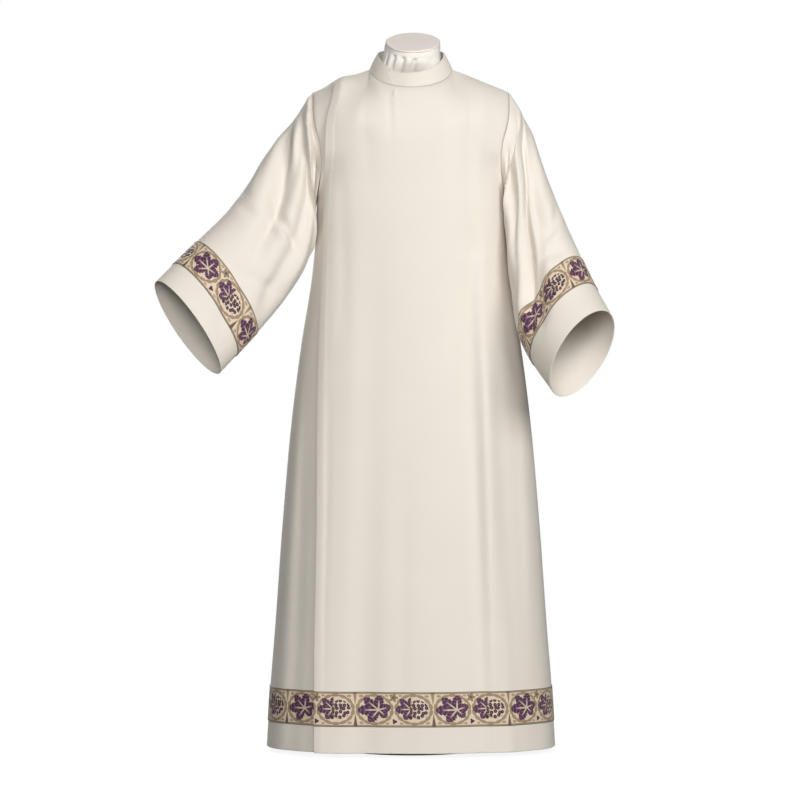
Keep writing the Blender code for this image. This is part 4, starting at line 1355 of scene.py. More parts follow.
@dataclass
class Panel:
    """One panel of the robe's body as a fine grid on the solid's form."""

    form: BodyForm
    face: Face
    folds: Table
    creases: Table
    sides: tuple[int, ...] = (0, -1)
    band_low: float = 0.066
    band_high: float = 0.140
    skirt_step: float = 0.0056
    top_rows: int = 46
    column_step: float = 0.0056
    bump_x: float = -0.153
    bump_width: float = 0.026
    bump_height: float = 0.0085
    seam_dip: float = 0.0007
    seam_reach: float = 0.0035
    hem_turn: float = 0.024
    hem_extra: float = 0.55
    hem_soft: float = 0.004
    side_fade: float = 0.12
    top_fade: float = 0.030
    bump_fade: float = 0.060
    middle_z: float = 0.9

    def row_heights(self) -> Array:
        """Heights of the rows: even steps in the skirt, and closer near the shoulder.

        Returns:
            Heights from hem to shoulder tip, with rows exactly at the band's edges.
        """
        form = self.form
        hem = np.array([form.hem_z, form.hem_z + 0.0015, form.hem_z + 0.004])
        low = self._even(form.hem_z + 0.008, self.band_low)
        band = self._even(self.band_low, self.band_high, 0.0037)
        skirt = self._even(self.band_high, form.underarm_z)
        turn = np.linspace(0, math.pi, self.top_rows + 1)
        armhole = form.underarm_z + (form.tip_z - form.underarm_z) * (1 - np.cos(turn)) / 2
        return np.concatenate([hem, low[:-1], band[:-1], skirt[:-1], armhole])

    def _even(self, low: float, high: float, step: float | None = None) -> Array:
        """Even heights between two, both included."""
        return np.linspace(low, high, max(2, round((high - low) / (step or self.skirt_step)) + 1))

    def columns(self, start: float, end: float, width: float) -> Array:
        """Section angles at the shoulder row, with columns exactly at the neck points.

        Args:
            start: First angle.
            end: Last angle.
            width: Length of the cloth across at the hem, which sets how many columns there are.

        Returns:
            Section angles.
        """
        split = float(self.form.angle_of(np.array(self.form.split_x), np.array(self.form.tip_z)))
        stops = [start] + [s for s in (-split, split) if start < s < end] + [end]
        total = end - start
        spans = []
        for a, b in zip(stops, stops[1:]):
            count = max(2, round(width / self.column_step * (b - a) / total))
            spans.append(np.linspace(a, b, count + 1)[:-1])
        return np.concatenate(spans + [[end]])

    def angle_grid(self, start: Array, end: Array, cols: Array) -> Array:
        """Section angles of all rows: each row's first angle, and the columns' shares of its span."""
        share = (cols - cols[0]) / (cols[-1] - cols[0])
        return start[:, None] + (end - start)[:, None] * share[None, :]

    def free_edge(self) -> Array:
        """Section angle of the over front's free edge on every row."""
        rows = self.row_heights()
        return -self.form.angle_of(FREE_EDGE.read("x", rows), rows)

    def shaped(self, angles: Array) -> tuple[Array, Array]:
        """Points of the panel at section angles, and which of them lie on the shoulder seam.

        Args:
            angles: Section angles, rows by columns.

        Returns:
            The points, and a row of true or false values for the last row.
        """
        rows = self.row_heights()[:, None] + 0 * angles
        points = self.form.surface(angles, rows, self.face, self.folds)
        on_shoulder = np.abs(points[-1, :, 1]) < 1e-9
        x, z = points[..., 0], points[..., 2]
        amount = crease_offsets(x, z, self.creases)
        near_side = (math.pi / 2 - np.abs(angles)) / self.side_fade
        near_top = (points[-1:, :, 2] - z) / self.top_fade
        points[..., 1] += self.face.value * amount * ease(near_side) * ease(near_top)
        return points, on_shoulder

    def raise_shoulder(self, points: Array) -> None:
        """Lifts the shoulder seam where the over front's layers lie on it: a bell across, fading down."""
        drop = points[-1:, :, 2] - points[..., 2]
        bell = np.exp(-(((points[..., 0] - self.bump_x) / self.bump_width) ** 2))
        points[..., 2] += self.bump_height * bell * (1 - ease(drop / self.bump_fade))

    def normals_of(self, points: Array, on_shoulder: Array) -> Array:
        """Outward normals, upright along the shoulder seam and square to the side at a side seam.

        Args:
            points: The panel's points.
            on_shoulder: Which columns of the last row lie on the shoulder seam.

        Returns:
            Unit normals.
        """
        n = grid_normals(points, np.array([0.0, 0.0, self.middle_z]))
        n[-1, :, 1] = np.where(on_shoulder, 0.0, n[-1, :, 1])
        n[:, list(self.sides), 1] = 0.0
        return unit(n)

    def thickness(self, grid: ClothGrid) -> Array:
        """Thickness of the cloth: half as much again in the turned-up hem, by a smooth step."""
        up = grid.flat[:, :1, 1]
        return self.form.cloth * (1 + self.hem_extra * ease((self.hem_turn - up) / self.hem_soft))

    def sewn(self, points: Array, normals: Array) -> ClothGrid:
        """The panel half a seam out, and rolled in a little along its side seams.

        Its flat places are metres along each row from the middle of the robe, and up from the hem.

        Args:
            points: The panel's points.
            normals: Outward normals.

        Returns:
            The cloth's grid.
        """
        points[..., 1] += self.face.value * self.form.seam / 2
        moved = points.copy()
        for side in self.sides:
            away = np.linalg.norm(points - points[:, [side]], axis=-1)
            moved -= normals * (self.seam_dip * np.exp(-((away / self.seam_reach) ** 2)))[..., None]
        across, rows = arc(points, 1), np.arange(len(points))
        middle = np.argmin(np.abs(points[..., 0]), axis=1)
        zero = across[rows, middle] - points[rows, middle, 0]
        return ClothGrid(moved, normals, np.stack([across - zero[:, None], arc(points, 0)], axis=-1))


@dataclass
class OverFront(Panel):
    """Front over panel, from its free edge at the viewer's left to the right side seam."""

    sides: tuple[int, ...] = (-1,)
    facing: float = 0.024
    ridge: float = 0.0012
    ridge_width: float = 0.0060

    def angles(self) -> Array:
        """Section angles of the panel."""
        start = self.free_edge()
        side = np.full(start.shape, math.pi / 2)
        return self.angle_grid(start, side, self.columns(float(start[-1]), math.pi / 2, 0.66))

    def grid(self) -> ClothGrid:
        """The panel with its lifted free edge: a bell across, and a step where the facing ends.

        Returns:
            The cloth's grid.
        """
        points, on_shoulder = self.shaped(self.angles())
        x, z = points[..., 0], points[..., 2]
        near = np.exp(-(((x + FREE_EDGE.read("x", z)) / self.form.edge_lift_reach) ** 2))
        points[..., 1] -= FREE_EDGE.read("lift", z) * near
        points[..., 1] -= self.ridge * ease((self.facing - arc(points, 1)) / self.ridge_width)
        self.raise_shoulder(points)
        return self.sewn(points, self.normals_of(points, on_shoulder))


@dataclass
class UnderFront(Panel):
    """Front under panel, from the left side seam to its inner edge behind the over panel."""

    sides: tuple[int, ...] = (0,)
    open_width: float = 0.16
    lap_share: float = 0.42

    def grid(self) -> ClothGrid:
        """The panel, one lap behind the over front: the lap grows from the side seam to the edge.

        Returns:
            The cloth's grid.
        """
        edge = self.free_edge()
        share = np.linspace(0, 1, round(self.open_width / self.column_step) + 1)[:-1]
        open_part = -math.pi / 2 + (edge + math.pi / 2)[:, None] * share[None, :]
        over = OverFront(self.form, self.face, self.folds, self.creases).angles()
        angles = np.concatenate([open_part, over[:, : round(over.shape[1] * self.lap_share)]], axis=1)
        points, on_shoulder = self.shaped(angles)
        self.raise_shoulder(points)
        lap = self.form.lap * ease((angles + math.pi / 2) / (edge + math.pi / 2)[:, None])
        points -= self.normals_of(points, on_shoulder) * lap[..., None]
        return self.sewn(points, self.normals_of(points, on_shoulder))


@dataclass
class BackPanel(Panel):
    """Back panel, from side seam to side seam."""

    def grid(self) -> ClothGrid:
        """The panel between both side seams.

        Returns:
            The cloth's grid.
        """
        cols = self.columns(-math.pi / 2, math.pi / 2, 0.86)
        side = np.full(self.row_heights().shape, math.pi / 2)
        points, on_shoulder = self.shaped(self.angle_grid(-side, side, cols))
        self.raise_shoulder(points)
        return self.sewn(points, self.normals_of(points, on_shoulder))


@dataclass
class Sleeve:
    """A wide open sleeve as a tube of rings."""

    form: BodyForm
    side: Side
    table: Table
    folds: Table
    creases: Table
    clear: float = 0.0025
    cuff_plain: float = 0.072
    cuff_band: float = BAND_WIDTH
    step: float = 0.0042
    girth: float = 0.66
    close_share: float = 0.02
    crease_start: float = 0.028
    armhole_share: float = 0.22
    fold_fade: float = 0.14

    @property
    def length(self) -> float:
        """Straight length of the upper fold line, which the band's place is measured on."""
        ends = [self.table.columns[n][[0, -1]] for n in ("top_x", "top_y", "top_z")]
        return float(np.linalg.norm(np.diff(ends)))

    def shares(self) -> Array:
        """Shares of the length for the rows, with rows exactly at the band's edges."""
        cuff = 1 - self.cuff_plain / self.length
        band = 1 - (self.cuff_plain + self.cuff_band) / self.length
        even = self.step / self.length
        close = self.close_share
        spans = [(0.0, close, even / 2), (close, band, even), (band, cuff, even), (cuff, 1.0, even)]
        rows = [np.linspace(a, b, max(2, round((b - a) / s)) + 1)[:-1] for a, b, s in spans]
        return np.concatenate(rows + [[1.0 - even / 5, 1.0]])

    def grid(self) -> ClothGrid:
        """The sleeve's rings: ellipses between the two fold lines, with folds and creases.

        Returns:
            The cloth's grid.
        """
        shares = self.shares()
        turns = np.arange(round(self.girth / self.step)) / round(self.girth / self.step)
        points = self.rings(turns, shares)
        points[..., 0] *= self.side.value
        normals = grid_normals(points, points.mean(axis=1, keepdims=True), closed=True)
        normals[0, :, 0] = 0.0
        around = np.concatenate([turns, [1.0]]) * self.girth
        flat = np.stack(np.broadcast_arrays(around, (shares * self.length)[:, None]), axis=-1)
        return ClothGrid(points, unit(normals), flat, closed=True)

    def rings(self, turns: Array, shares: Array) -> Array:
        """Outer points on the +X side at turns round and shares of the length.

        Args:
            turns: Shares of a turn for the columns.
            shares: Shares of the length for the rows.

        Returns:
            Points, rows by columns by 3.
        """
        key = np.linspace(0, 1, len(self.table.columns["depth"]))
        read = {name: self.table.read(name, shares, key) for name in self.table.names}
        top, low = (np.stack([read[f"{line}_{axis}"] for axis in "xyz"], axis=-1) for line in ("top", "low"))
        centre = (top + low) / 2
        across = unit(np.cross(top - low, np.gradient(centre, shares, axis=0)))
        across *= np.where(across[:, 1:2] > 0, -1, 1)
        angle = turns * 2 * math.pi
        swell = np.zeros((len(shares), len(turns)))
        for start, end, width, depth, first, last in self.folds.rows():
            middle = start + (end - start) * shares
            away = (turns[None, :] - middle[:, None] + 0.5) % 1.0 - 0.5
            strength = window(shares, first, last, self.fold_fade)[:, None]
            swell += depth * strength * np.exp(-((away / width) ** 2))
        along = -np.cos(angle)[None, :, None] * ((top - low) / 2)[:, None, :]
        side = np.sin(angle)[None, :, None] * (across * read["depth"][:, None])[:, None, :]
        points = centre[:, None, :] + along + side
        out = unit(points - centre[:, None, :])
        places = (turns[None, :] * self.girth, shares[:, None] * self.length)
        held = ease(shares / self.crease_start)[:, None]
        swell = swell + crease_offsets(*places, self.creases, self.girth) * held
        points = points + out * swell[..., None]
        mix = ease(1 - shares / self.armhole_share)[:, None, None]
        points = points + mix * (self.form.armhole_ring(turns) - points[0])[None, :, :]
        seam = self.form.seam
        gap = seam + (self.clear - seam) * np.clip(shares / self.close_share, 0, 1)[:, None]
        body = self.form.side_reach(points[..., 1], points[..., 2])
        points[..., 0] = np.maximum(points[..., 0], body + gap)
        return points


@dataclass
class Collar:
    """Stand-up collar: a band from its over end at the left front, once round, and tucked under."""

    form: BodyForm
    height: float = 0.035
    under_drop: float = 0.0034
    slant: float = math.radians(22)
    thickness: float = 0.0018
    seat: float = 0.0010
    top_x: float = 0.0725
    top_front: float = 0.072
    top_back: float = 0.055
    start: float = math.radians(24)
    turn: float = math.radians(376)
    tuck: float = 0.0030
    steps: int = 380
    rows: int = 18
    bow: float = 0.0009
    slant_run: float = 0.15
    under: tuple[float, float] = (0.76, 0.14)
    tucked: tuple[float, float] = (0.88, 0.10)
    middle_z: float = 1.49

    def grid(self) -> ClothGrid:
        """A ruled band between the neckline and a smaller top oval, bowed out a little.

        Returns:
            The cloth's grid.
        """
        form = self.form
        share = np.linspace(0, 1, self.steps)[None, :]
        up = np.linspace(0, 1, self.rows)[:, None]
        turn = self.start + self.turn * share + self.slant * up * (1 - ease(share / self.slant_run))
        x, y = -np.sin(turn), -np.cos(turn)
        front = y < 0
        low_y = y * np.where(front, form.neck_front, form.neck_back)
        low_z = form.neck_point_z + low_y * np.where(front, form.slope_front, form.slope_back)
        height = self.height - self.under_drop * ease((share - self.under[0]) / self.under[1])
        low = np.stack([x * form.neck_x, low_y, low_z + self.seat], axis=-1)
        high_y = y * np.where(front, self.top_front, self.top_back)
        high = np.stack([x * self.top_x, high_y, low_z + height], axis=-1)
        points = low + (high - low) * up[..., None]
        n = grid_normals(points, np.array([0.0, 0.0, self.middle_z]))
        n[0, :, 2] = 0.0
        n = unit(n)
        tuck = self.tuck * ease((share - self.tucked[0]) / self.tucked[1])
        bow = self.bow * np.sin(math.pi * up)
        points = points + n * (bow - tuck)[..., None]
        flat = np.stack([arc(points, 1), arc(points, 0)], axis=-1)
        return ClothGrid(points, n, flat)


@dataclass
class DressForm:
    """Covered torso and neck of the dress form, with the cover gathered round the neck."""

    form: BodyForm
    clear: float = 1.08 * (CLOTH + LAYER_GAP + CLOTH) + 1.5 * SEAM
    taper: float = 0.5
    taper_x: tuple[float, float] = (0.07, 0.11)
    taper_z: tuple[float, float] = (1.36, 0.06)
    least_half: float = 0.080
    round_power: float = 0.85
    shoulder_z: float = 1.40
    neck_z: float = 1.47
    neck_top: float = 1.530
    gather_fade: float = 0.010
    tilt: float = math.radians(25)
    cap_centre: tuple[float, float, float] = (0.0040, -0.012, 1.5395)
    cap_radius: float = 0.0583
    cap_thick: float = 0.004
    cap_edge: float = 0.0019
    cap_rise: float = 0.0004
    bottom: float = 0.860
    flat_girth: float = 0.36
    points_round: int = 288

    def section(self, z: float, turns: Array) -> Array:
        """Outline at a height, inside the robe's shoulder line.

        Args:
            z: The height.
            turns: Shares of a turn.

        Returns:
            Points of the outline.
        """
        form = self.form
        slope = (form.neck_point_z - form.tip_z) / (form.tip_x - form.neck_x)
        reach = form.neck_x + (form.neck_point_z - self.clear - z) / slope
        half, front, back = (float(TORSO.read(name, np.array(z))) for name in ("half", "front", "back"))
        width = max(min(half, reach), min(half, self.least_half))
        angle = turns * 2 * math.pi
        x, y = width * np.sin(angle), -np.cos(angle)
        depth = np.where(y < 0, front, back)
        outwards = ease((np.abs(x) - self.taper_x[0]) / self.taper_x[1])
        taper = 1 - self.taper * outwards * ease((z - self.taper_z[0]) / self.taper_z[1])
        y = np.sign(y) * np.abs(y) ** self.round_power * depth * taper
        return np.stack([x, y, np.full(turns.shape, z)], axis=-1)

    def rings(self) -> tuple[Array, Array, Array]:
        """Rings from the underside to the neck's top, leaning forward with the cap.

        Returns:
            The rings, their heights before the lean, and the shares of a turn.
        """
        turns = np.arange(self.points_round) / self.points_round
        heights = np.concatenate([
            np.linspace(self.bottom, self.shoulder_z, 40)[:-1],
            np.linspace(self.shoulder_z, self.neck_z, 30)[:-1],
            np.linspace(self.neck_z, self.neck_top, 60),
        ])
        rings = np.array([self.section(z, turns) for z in heights])
        upper = ease((heights - self.neck_z) / (heights[-1] - self.neck_z))[:, None]
        rings[..., 0] += upper * self.cap_centre[0]
        rings[..., 2] += upper * math.tan(self.tilt) * (rings[..., 1] - self.cap_centre[1])
        rings[..., 2] += upper * (self.cap_centre[2] - 1.5 * self.form.seam - heights[-1])
        return rings, heights, turns

    def cover(self, name: str) -> bpy.types.Object:
        """The cover over torso and neck, closed below and under the cap.

        Args:
            name: The object's name.

        Returns:
            The mesh object.
        """
        rings, heights, turns = self.rings()
        out = unit(rings - rings.mean(axis=1, keepdims=True))
        gathers = np.zeros(rings.shape[:2])
        for place, width, depth, low, high, drift in GATHERS.rows():
            middle = place / 360 + drift / 360 * ((heights - low) / (high - low))
            away = (turns[None, :] - middle[:, None] + 0.5) % 1.0 - 0.5
            amount = window(heights, low, high, self.gather_fade)[:, None]
            share = (away / (width / 360)) ** 2
            gathers += depth * amount * (0.45 * np.exp(-share / 5) - np.exp(-share))
        rings = rings + out * gathers[..., None]
        builder = MeshBuilder()
        index = builder.add_rings(rings)
        around = np.concatenate([turns, [1.0]]) * self.flat_girth
        flat = np.stack(np.broadcast_arrays(around[None, :], heights[:, None]), axis=-1)
        places = builder.add_flat(flat)
        builder.grid(index, places)
        pole_place = builder.add_flat(np.array([[self.flat_girth / 2, 0.0]]))[0]
        for row, way in ((0, -1), (-1, 1)):
            centre = rings[row].mean(axis=0)
            previous = index[row][::way]
            for keep in (0.96, 0.6):
                ring = builder.add_rings((centre + (rings[row] - centre) * keep)[None])[0][::way]
                builder.grid(np.stack([previous, ring]), np.stack([places[row][::way]] * 2))
                previous = ring
            builder.fan(previous, places[row][::way], centre, pole_place)
        return builder.build(name)

    def cap(self, name: str) -> bpy.types.Object:
        """The neck cap: a disc turned from a rounded profile, leaning forward.

        Args:
            name: The object's name.

        Returns:
            The mesh object.
        """
        edge, radius, face = self.cap_edge, self.cap_radius, self.cap_thick + self.cap_rise
        bend = np.linspace(0, math.pi / 2, 7)
        low = [(radius - edge * (1 - math.sin(b)), edge * (1 - math.cos(b))) for b in bend]
        high = [(radius - edge * (1 - math.cos(b)), self.cap_thick - edge * (1 - math.sin(b))) for b in bend]
        profile = [(radius * 0.5, 0.0)] + low + high + [(radius * 0.6, face - 0.0001), (radius * 0.25, face)]
        angle = np.arange(160) / 160 * 2 * math.pi
        radii, ups = np.array(profile).T[..., None]
        ring = np.broadcast_arrays(radii * np.sin(angle), -radii * np.cos(angle), ups)
        c, s = math.cos(self.tilt), math.sin(self.tilt)
        lean = np.array([[1, 0, 0], [0, c, -s], [0, s, c]]).T
        centre = np.array(self.cap_centre)
        builder = MeshBuilder()
        index = builder.add_rings(np.stack(ring, axis=-1) @ lean + centre)
        builder.grid(index, index)
        for row, way, up in ((0, -1, 0.0), (-1, 1, face)):
            builder.fan(index[row][::way], index[row], np.array([0.0, 0.0, up]) @ lean + centre)
        return builder.build(name)


@dataclass
class Galloon:
    """A woven band sewn on a stretch of cloth, made of the cloth's points moved out."""

    lift: float = 0.0003
    thickness: float = 0.0011
    width: float = BAND_WIDTH
    stitch_inset: float = 0.0015

    def grid(self, cloth: ClothGrid, rows: slice, cols: slice, phase: float, sense: int) -> ClothGrid:
        """The band's grid with flat places of its own: metres along it, and across from its middle.

        Args:
            cloth: The cloth below.
            rows: Rows under the band, with its two edges.
            cols: Columns under the band.
            phase: Flat place along the cloth where a leaf with grapes is centred.
            sense: 1 if the pattern runs the way of the cloth's columns, else -1.

        Returns:
            The band's grid.
        """
        normals = cloth.normals[rows, cols]
        points = cloth.points[rows, cols] + (self.lift + self.thickness) * normals
        band = ClothGrid(points, normals, cloth.flat[rows, cols], cloth.closed).narrowed(self.width)
        middle = band.flat[len(band.flat) // 2, :, 0]
        across = arc(band.points, 0).mean(axis=1)
        up = (across / across[-1] - 0.5) * self.width
        upward = 1 if band.points[-1, :, 2].mean() > band.points[0, :, 2].mean() else -1
        places = np.broadcast_arrays(sense * (middle - phase), (upward * up)[:, None])
        band.flat = np.stack(places, axis=-1)
        return band


@dataclass
class Stitching:
    """Rows of lock stitches as spindles of thread that dip into the cloth at both ends."""

    pitch: float = 0.0034
    share: float = 0.80
    radius: float = 0.00023
    sink: float = 0.00006

    def __post_init__(self) -> None:
        """Starts a mesh."""
        self.builder = MeshBuilder()

    def row(self, points: Array, normals: Array, closed: bool = False) -> None:
        """Adds one row of stitches along a line on the cloth.

        Each spindle has two hexagons at about half of its half length, and a tip at each end that
        is sunk by the thread's radius.

        Args:
            points: Points of the line.
            normals: Outward normals on it.
            closed: True if the line closes on itself.
        """
        if closed:
            points, normals = again(points[None])[0], again(normals[None])[0]
        along = arc(points, 0)
        number = int(along[-1] / self.pitch)
        places = (np.arange(number) + 0.5) * along[-1] / number
        centre, out, ahead = (
            np.stack([np.interp(at, along, line[:, k]) for k in range(3)], axis=-1)
            for at, line in ((places, points), (places, normals), (places + 1e-4, points))
        )
        way, out = unit(ahead - centre), unit(out)
        out = unit(out - way * np.sum(out * way, axis=-1, keepdims=True))
        half = self.pitch * self.share / 2
        angle = np.arange(6)[:, None, None] / 6 * 2 * math.pi
        ring = np.cos(angle) * np.cross(way, out) + np.sin(angle) * out
        base = centre + out * (self.radius - self.sink)
        first, second = (self.builder.add(base + way * s * half + ring * self.radius) for s in (-0.55, 0.55))
        start, end = (self.builder.add(centre + way * s * half - out * self.radius) for s in (-1.0, 1.0))
        for k, n in enumerate(np.roll(np.arange(6), -1)):
            for face in ((first[k], first[n], second[n], second[k]), (first[n], first[k], start),
                         (second[k], second[n], end)):
                self.builder.faces.append(np.stack(face, axis=-1))


@dataclass
class CollarTab:
    """Small fastening tab below the collar's over end: a rounded slip of cloth on the front."""

    centre: tuple[float, float] = (-0.0355, 1.4265)
    size: tuple[float, float] = (0.0075, 0.0160)
    lean: float = math.radians(-14)
    thickness: float = 0.0022
    lift: float = 0.0002
    square: float = 3.2

    def wall(self, name: str, cloth: ClothGrid) -> bpy.types.Object:
        """A puffed slip: a squared oval grid laid on the nearest points of the front.

        Args:
            name: The object's name.
            cloth: The front's grid.

        Returns:
            The mesh object.
        """
        turns = np.arange(40) / 40 * 2 * math.pi
        reach = np.linspace(1.0, 0.12, 8)
        bend = np.abs(np.cos(turns)) ** self.square + np.abs(np.sin(turns)) ** self.square
        outline = np.stack([np.cos(turns), np.sin(turns)], axis=-1) / bend[:, None] ** (1 / self.square)
        flat = reach[:, None, None] * outline * np.array(self.size) / 2
        c, s = math.cos(self.lean), math.sin(self.lean)
        places = flat @ np.array([[c, s], [-s, c]]) + np.array(self.centre)
        found = cloth.sample(places[..., 0].ravel(), places[..., 1].ravel())
        points, normals = (values.reshape(*flat.shape[:2], 3) for values in found)
        puff = self.thickness * (0.55 + 0.45 * (1 - reach**4))[:, None, None]
        builder = MeshBuilder()
        top, low = (builder.add_rings(points + normals * rise) for rise in (puff, self.lift))
        uv = builder.add_flat(again(flat))
        pole_uv = builder.add_flat(np.zeros((1, 2)))[0]
        builder.grid(top, uv)
        builder.grid(low[:, ::-1], uv[:, ::-1])
        builder.grid(np.stack([low[0], top[0]]), np.stack([uv[0], uv[0]]))
        for index, rise, way in ((top[-1], puff[-1], 1), (low[-1], self.lift, -1)):
            pole = (points[-1] + normals[-1] * rise).mean(axis=0)
            builder.fan(index[::way], uv[-1][::way], pole, pole_uv)
        return builder.build(name)


@dataclass
class Studio:
    """Camera, lights, white surround and pale floor."""

    distance: float = 9.0
    pixels_per_metre: float = 458.0
    picture: int = 800
    sensor: float = 36.0
    eye: tuple[float, float] = (-0.024, 0.85)
    aim_z: float = 0.7627
    robe_middle: Point = (0.0, 0.0, 0.85)
    world_light: float = 0.08
    floor_z: float = -0.0005

    def build(self) -> None:
        """Adds the camera, the world, the lights and the floor."""
        scene = bpy.context.scene
        camera = bpy.data.cameras.new("camera")
        camera.sensor_width = self.sensor
        camera.lens = self.pixels_per_metre * self.distance * self.sensor / self.picture
        scene.camera = linked("camera", camera)
        self.place(scene.camera, (self.eye[0], -self.distance, self.eye[1]), (self.eye[0], 0.0, self.aim_z))
        scene.view_settings.view_transform = "Standard"
        for name, place, size, power, colour in (
            ("key", (2.4, -3.4, 2.7), 2.3, 112.0, (1.0, 0.995, 0.985)),
            ("top", (1.0, -2.6, 4.2), 1.8, 9.0, (1.0, 1.0, 1.0)),
            ("front", (-0.4, -6.5, 2.4), 2.6, 262.0, (1.0, 1.0, 0.99)),
            ("rear", (-1.5, 5.0, 3.0), 3.0, 240.0, (1.0, 1.0, 1.0)),
        ):
            light = bpy.data.lights.new(name, "AREA")
            light.size, light.energy, light.color = size, power, colour
            self.place(linked(name, light), place, self.robe_middle)
        self.world()
        self.floor()

    def place(self, holder: bpy.types.Object, place: Point, target: Point) -> None:
        """Puts a camera or light in its place and turns it towards a point."""
        holder.location = place
        holder.rotation_euler = (Vector(target) - Vector(place)).to_track_quat("-Z", "Y").to_euler()

    def world(self) -> None:
        """White to the camera, and a softer, even light on everything else."""
        world = bpy.data.worlds.new("surround")
        bpy.context.scene.world = world
        world.use_nodes = True
        world.node_tree.nodes.clear()
        g = Graph(world.node_tree)
        lighting = g.one("ShaderNodeBackground", {"Color": (1.0, 0.985, 0.94), "Strength": self.world_light})
        seen = g.one("ShaderNodeBackground", {"Color": (1.0, 1.0, 1.0), "Strength": 1.0})
        either = g.every("ShaderNodeMixShader", g.to_camera(), lighting, seen)[0]
        g.every("ShaderNodeOutputWorld", either)

    def floor(self) -> None:
        """A flat disc of rings, a little below the stand's underside."""
        finish = PaleFloor("pale_floor", (0.15, 0.15, 0.148), 0.9)
        turns = np.arange(96) / 96 * 2 * math.pi
        rings = np.linspace(0.02, 1.0, 12)[:, None, None] * finish.radius
        points = rings * np.stack([np.sin(turns), -np.cos(turns), 0 * turns], axis=-1)
        points[..., 2] = self.floor_z
        builder = MeshBuilder()
        index = builder.add_rings(points)
        builder.grid(index, index)
        builder.fan(index[0][::-1], index[0], np.array([0.0, 0.0, self.floor_z]))
        floor = builder.build("floor")
        floor.data.materials.append(finish.material())


def rows_between(heights: Array, low: float, high: float) -> slice:
    """The rows from the one nearest to the low place to the one nearest to the high one.

    Args:
        heights: The rows' places.
        low: The low place.
        high: The high place.

    Returns:
        A slice with both rows.
    """
    first, last = (int(np.argmin(abs(heights - place))) for place in (low, high))
    return slice(first, last + 1)


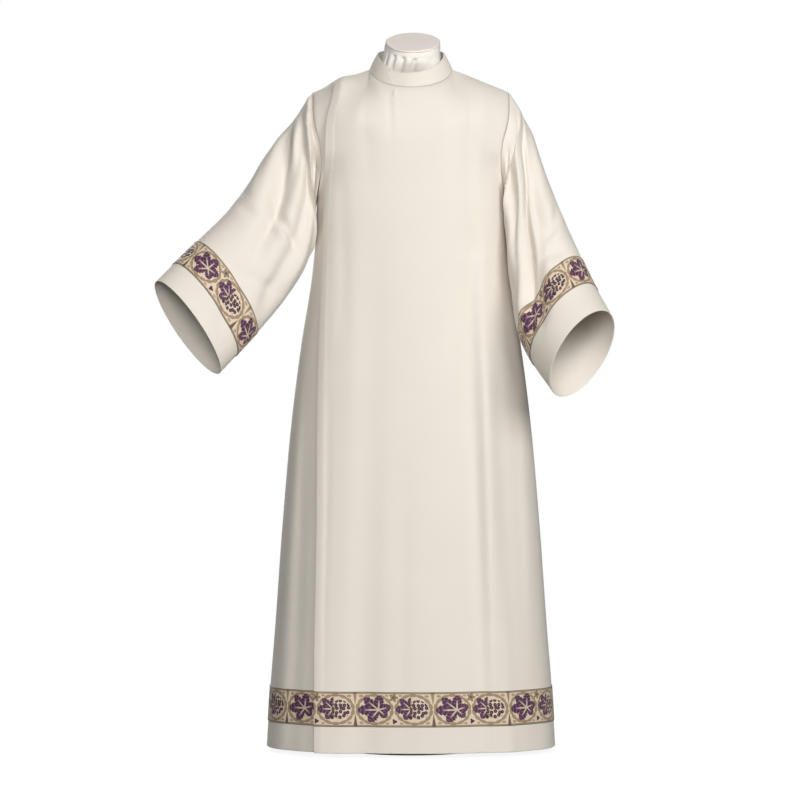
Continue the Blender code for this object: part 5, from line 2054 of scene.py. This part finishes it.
class Robe:
    """Puts the pieces together, with their finishes, and hides the solids that each one stands for."""

    def __init__(self) -> None:
        """Makes the shared groups and the materials."""
        weave, leaf = weave_group(), leaf_group()
        self.form = BodyForm()
        finishes = {
            Slot.CLOTH: WovenCloth("ivory_weave", (0.800, 0.742, 0.668), 0.82, weave=weave),
            Slot.BAND: VineGalloon("vine_galloon", (0.740, 0.600, 0.455), 0.68, leaf=leaf, weave=weave),
            Slot.COVER: Jersey("form_jersey", (0.950, 0.905, 0.850), 0.85),
            Slot.CAP: Board("form_board", (0.930, 0.860, 0.800), 0.62),
            Slot.STEEL: BrushedSteel("satin_steel", (0.62, 0.62, 0.63), 0.34),
        }
        self.materials = {slot: finish.material() for slot, finish in finishes.items()}
        self.ivory_thread = Thread("ivory_thread", (0.700, 0.620, 0.500), 0.6).material()
        self.gold_thread = Thread("gold_thread", (0.420, 0.300, 0.140), 0.5).material()
        self.band_stitches = Stitching()
        self.galloon = Galloon()

    def fit(self, piece: bpy.types.Object, slot: Slot, *nodes: str,
            material: bpy.types.Material | None = None) -> bpy.types.Object:
        """Gives a piece its finish and its place, and reports it.

        Args:
            piece: The object.
            slot: The record's material slot.
            nodes: CAD nodes that it stands for.
            material: A material other than the slot's own.

        Returns:
            The piece.
        """
        piece.data.materials.append(material or self.materials[slot])
        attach(piece, "root")
        if nodes:
            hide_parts(*nodes)
        corners = np.zeros(len(piece.data.polygons), dtype=np.int32)
        piece.data.polygons.foreach_get("loop_total", corners)
        LOG.info("%-26s %7d triangles", piece.name, int((corners - 2).sum()))
        return piece

    def declare(self, piece: bpy.types.Object, grid: ClothGrid) -> None:
        """States a sheet's flat size: its longest row, its longest column, and its area.

        Args:
            piece: The cloth.
            grid: Its grid.
        """
        points = again(grid.points) if grid.closed else grid.points
        wide, long = arc(points, 1), arc(points, 0)
        width, length = float(wide[:, -1].max()), float(long[-1].max())
        rows, cols = np.diff(wide, axis=1), np.diff(long, axis=0)
        area = float(np.sum((rows[1:] + rows[:-1]) / 2 * (cols[:, 1:] + cols[:, :-1]) / 2))
        size = (round(width, 3), round(length, 3))
        area = round(min(area, size[0] * size[1]), 4)
        LOG.info("%-26s cut %.3f x %.3f m, %.4f m2", piece.name, *size, area)

    def band(self, name: str, node: str, below: bpy.types.Object, cloth: ClothGrid, rows: slice,
             phase: float, sense: int, cols: slice = slice(None)) -> None:
        """Adds a galloon and its two rows of stitches.

        Args:
            name: The galloon's name.
            node: The CAD node that it stands for.
            below: The cloth object below; not used.
            cloth: The cloth's grid.
            rows: Rows under the band.
            phase: Where the pattern starts.
            sense: Which way the pattern runs.
            cols: Columns under the band.
        """
        grid = self.galloon.grid(cloth, rows, cols, phase, sense)
        piece = self.fit(grid.wall(name, self.galloon.thickness), Slot.BAND, node)
        self.declare(piece, grid)
        for edge, beside in ((0, 1), (-1, -2)):
            inwards = unit(grid.points[beside] - grid.points[edge])
            line = grid.points[edge] + inwards * self.galloon.stitch_inset
            self.band_stitches.row(line, grid.normals[edge], grid.closed)

    def seam(self, name: str, *lines: tuple[Array, Array]) -> None:
        """Adds ivory stitches.

        Args:
            name: The stitches' name.
            lines: Points and normals of each line.
        """
        stitches = Stitching()
        for line in lines:
            stitches.row(*line)
        self.fit(stitches.builder.build(name), Slot.CLOTH, material=self.ivory_thread)

    def body(self) -> None:
        """The three panels, the hem band, the facing's stitches and the collar's tab."""
        form = self.form
        panels = {
            "front_over": OverFront(form, Face.FRONT, FRONT_FOLDS, FRONT_CREASES),
            "front_under": UnderFront(form, Face.FRONT, FRONT_FOLDS, FRONT_CREASES),
            "back": BackPanel(form, Face.BACK, BACK_FOLDS, BACK_CREASES),
        }
        for name, panel in panels.items():
            grid = panel.grid()
            thickness = panel.thickness(grid)
            cloth = self.fit(grid.wall(f"{name}_cloth", thickness), Slot.CLOTH, f"{name}_panel")
            self.declare(cloth, grid)
            rows = rows_between(panel.row_heights(), panel.band_low, panel.band_high)
            end = round(panel.open_width / panel.column_step) + 4 if isinstance(panel, UnderFront) else None
            self.band(f"hem_galloon_{name}", f"hem_band_{name}", cloth, grid, rows, MOTIF_X,
                      -panel.face.value, slice(0, end))
            if isinstance(panel, OverFront):
                self.seam("facing_stitches", grid.trace(panel.facing))
                self.fit(CollarTab().wall("collar_tab", grid), Slot.CLOTH)

    def sleeves(self) -> None:
        """Both sleeves with their cuff bands."""
        right = Sleeve(self.form, Side.RIGHT, RIGHT_SLEEVE, RIGHT_SLEEVE_FOLDS, RIGHT_CREASES)
        left = Sleeve(self.form, Side.LEFT, LEFT_SLEEVE, LEFT_SLEEVE_FOLDS, LEFT_CREASES)
        for name, sleeve, phase in (("right", right, RIGHT_MOTIF), ("left", left, LEFT_MOTIF)):
            grid = sleeve.grid()
            cloth = self.fit(grid.wall(f"sleeve_{name}_cloth", self.form.cloth), Slot.CLOTH,
                             f"sleeve_{name}_front", f"sleeve_{name}_back")
            self.declare(cloth, grid)
            cuff = sleeve.length - sleeve.cuff_plain
            rows = rows_between(sleeve.shares() * sleeve.length, cuff - sleeve.cuff_band, cuff)
            self.band(f"cuff_galloon_{name}", f"cuff_band_{name}", cloth, grid, rows, phase,
                      sleeve.side.value)

    def collar(self) -> None:
        """The stand-up collar with its edge stitches."""
        collar = Collar(self.form)
        grid = collar.grid()
        piece = self.fit(grid.wall("collar_cloth", collar.thickness), Slot.CLOTH, "collar_band")
        self.declare(piece, grid)
        lines = (-2, 1, (slice(2, -2), 2))
        self.seam("collar_stitches", *((grid.points[at], grid.normals[at]) for at in lines))

    def dress_form(self) -> None:
        """The covered form, its cap, and the steel stand's better material."""
        dress = DressForm(self.form)
        self.fit(dress.cover("form_cover"), Slot.COVER, "form_torso")
        self.fit(dress.cap("form_cap"), Slot.CAP, "form_neck_cap")
        for name in ("stand_pole", "stand_base"):
            for slot in bpy.data.objects[name].material_slots:
                slot.material = self.materials[Slot.STEEL]

    def build(self) -> None:
        """Makes every piece."""
        self.dress_form()
        self.body()
        self.sleeves()
        self.collar()
        stitches = self.band_stitches.builder.build("galloon_stitches")
        self.fit(stitches, Slot.BAND, material=self.gold_thread)


def main() -> None:
    """Builds the robe and the studio."""
    logging.basicConfig(level=logging.INFO, format="%(message)s")
    Robe().build()
    Studio().build()


if __name__ == "__main__":
    main()
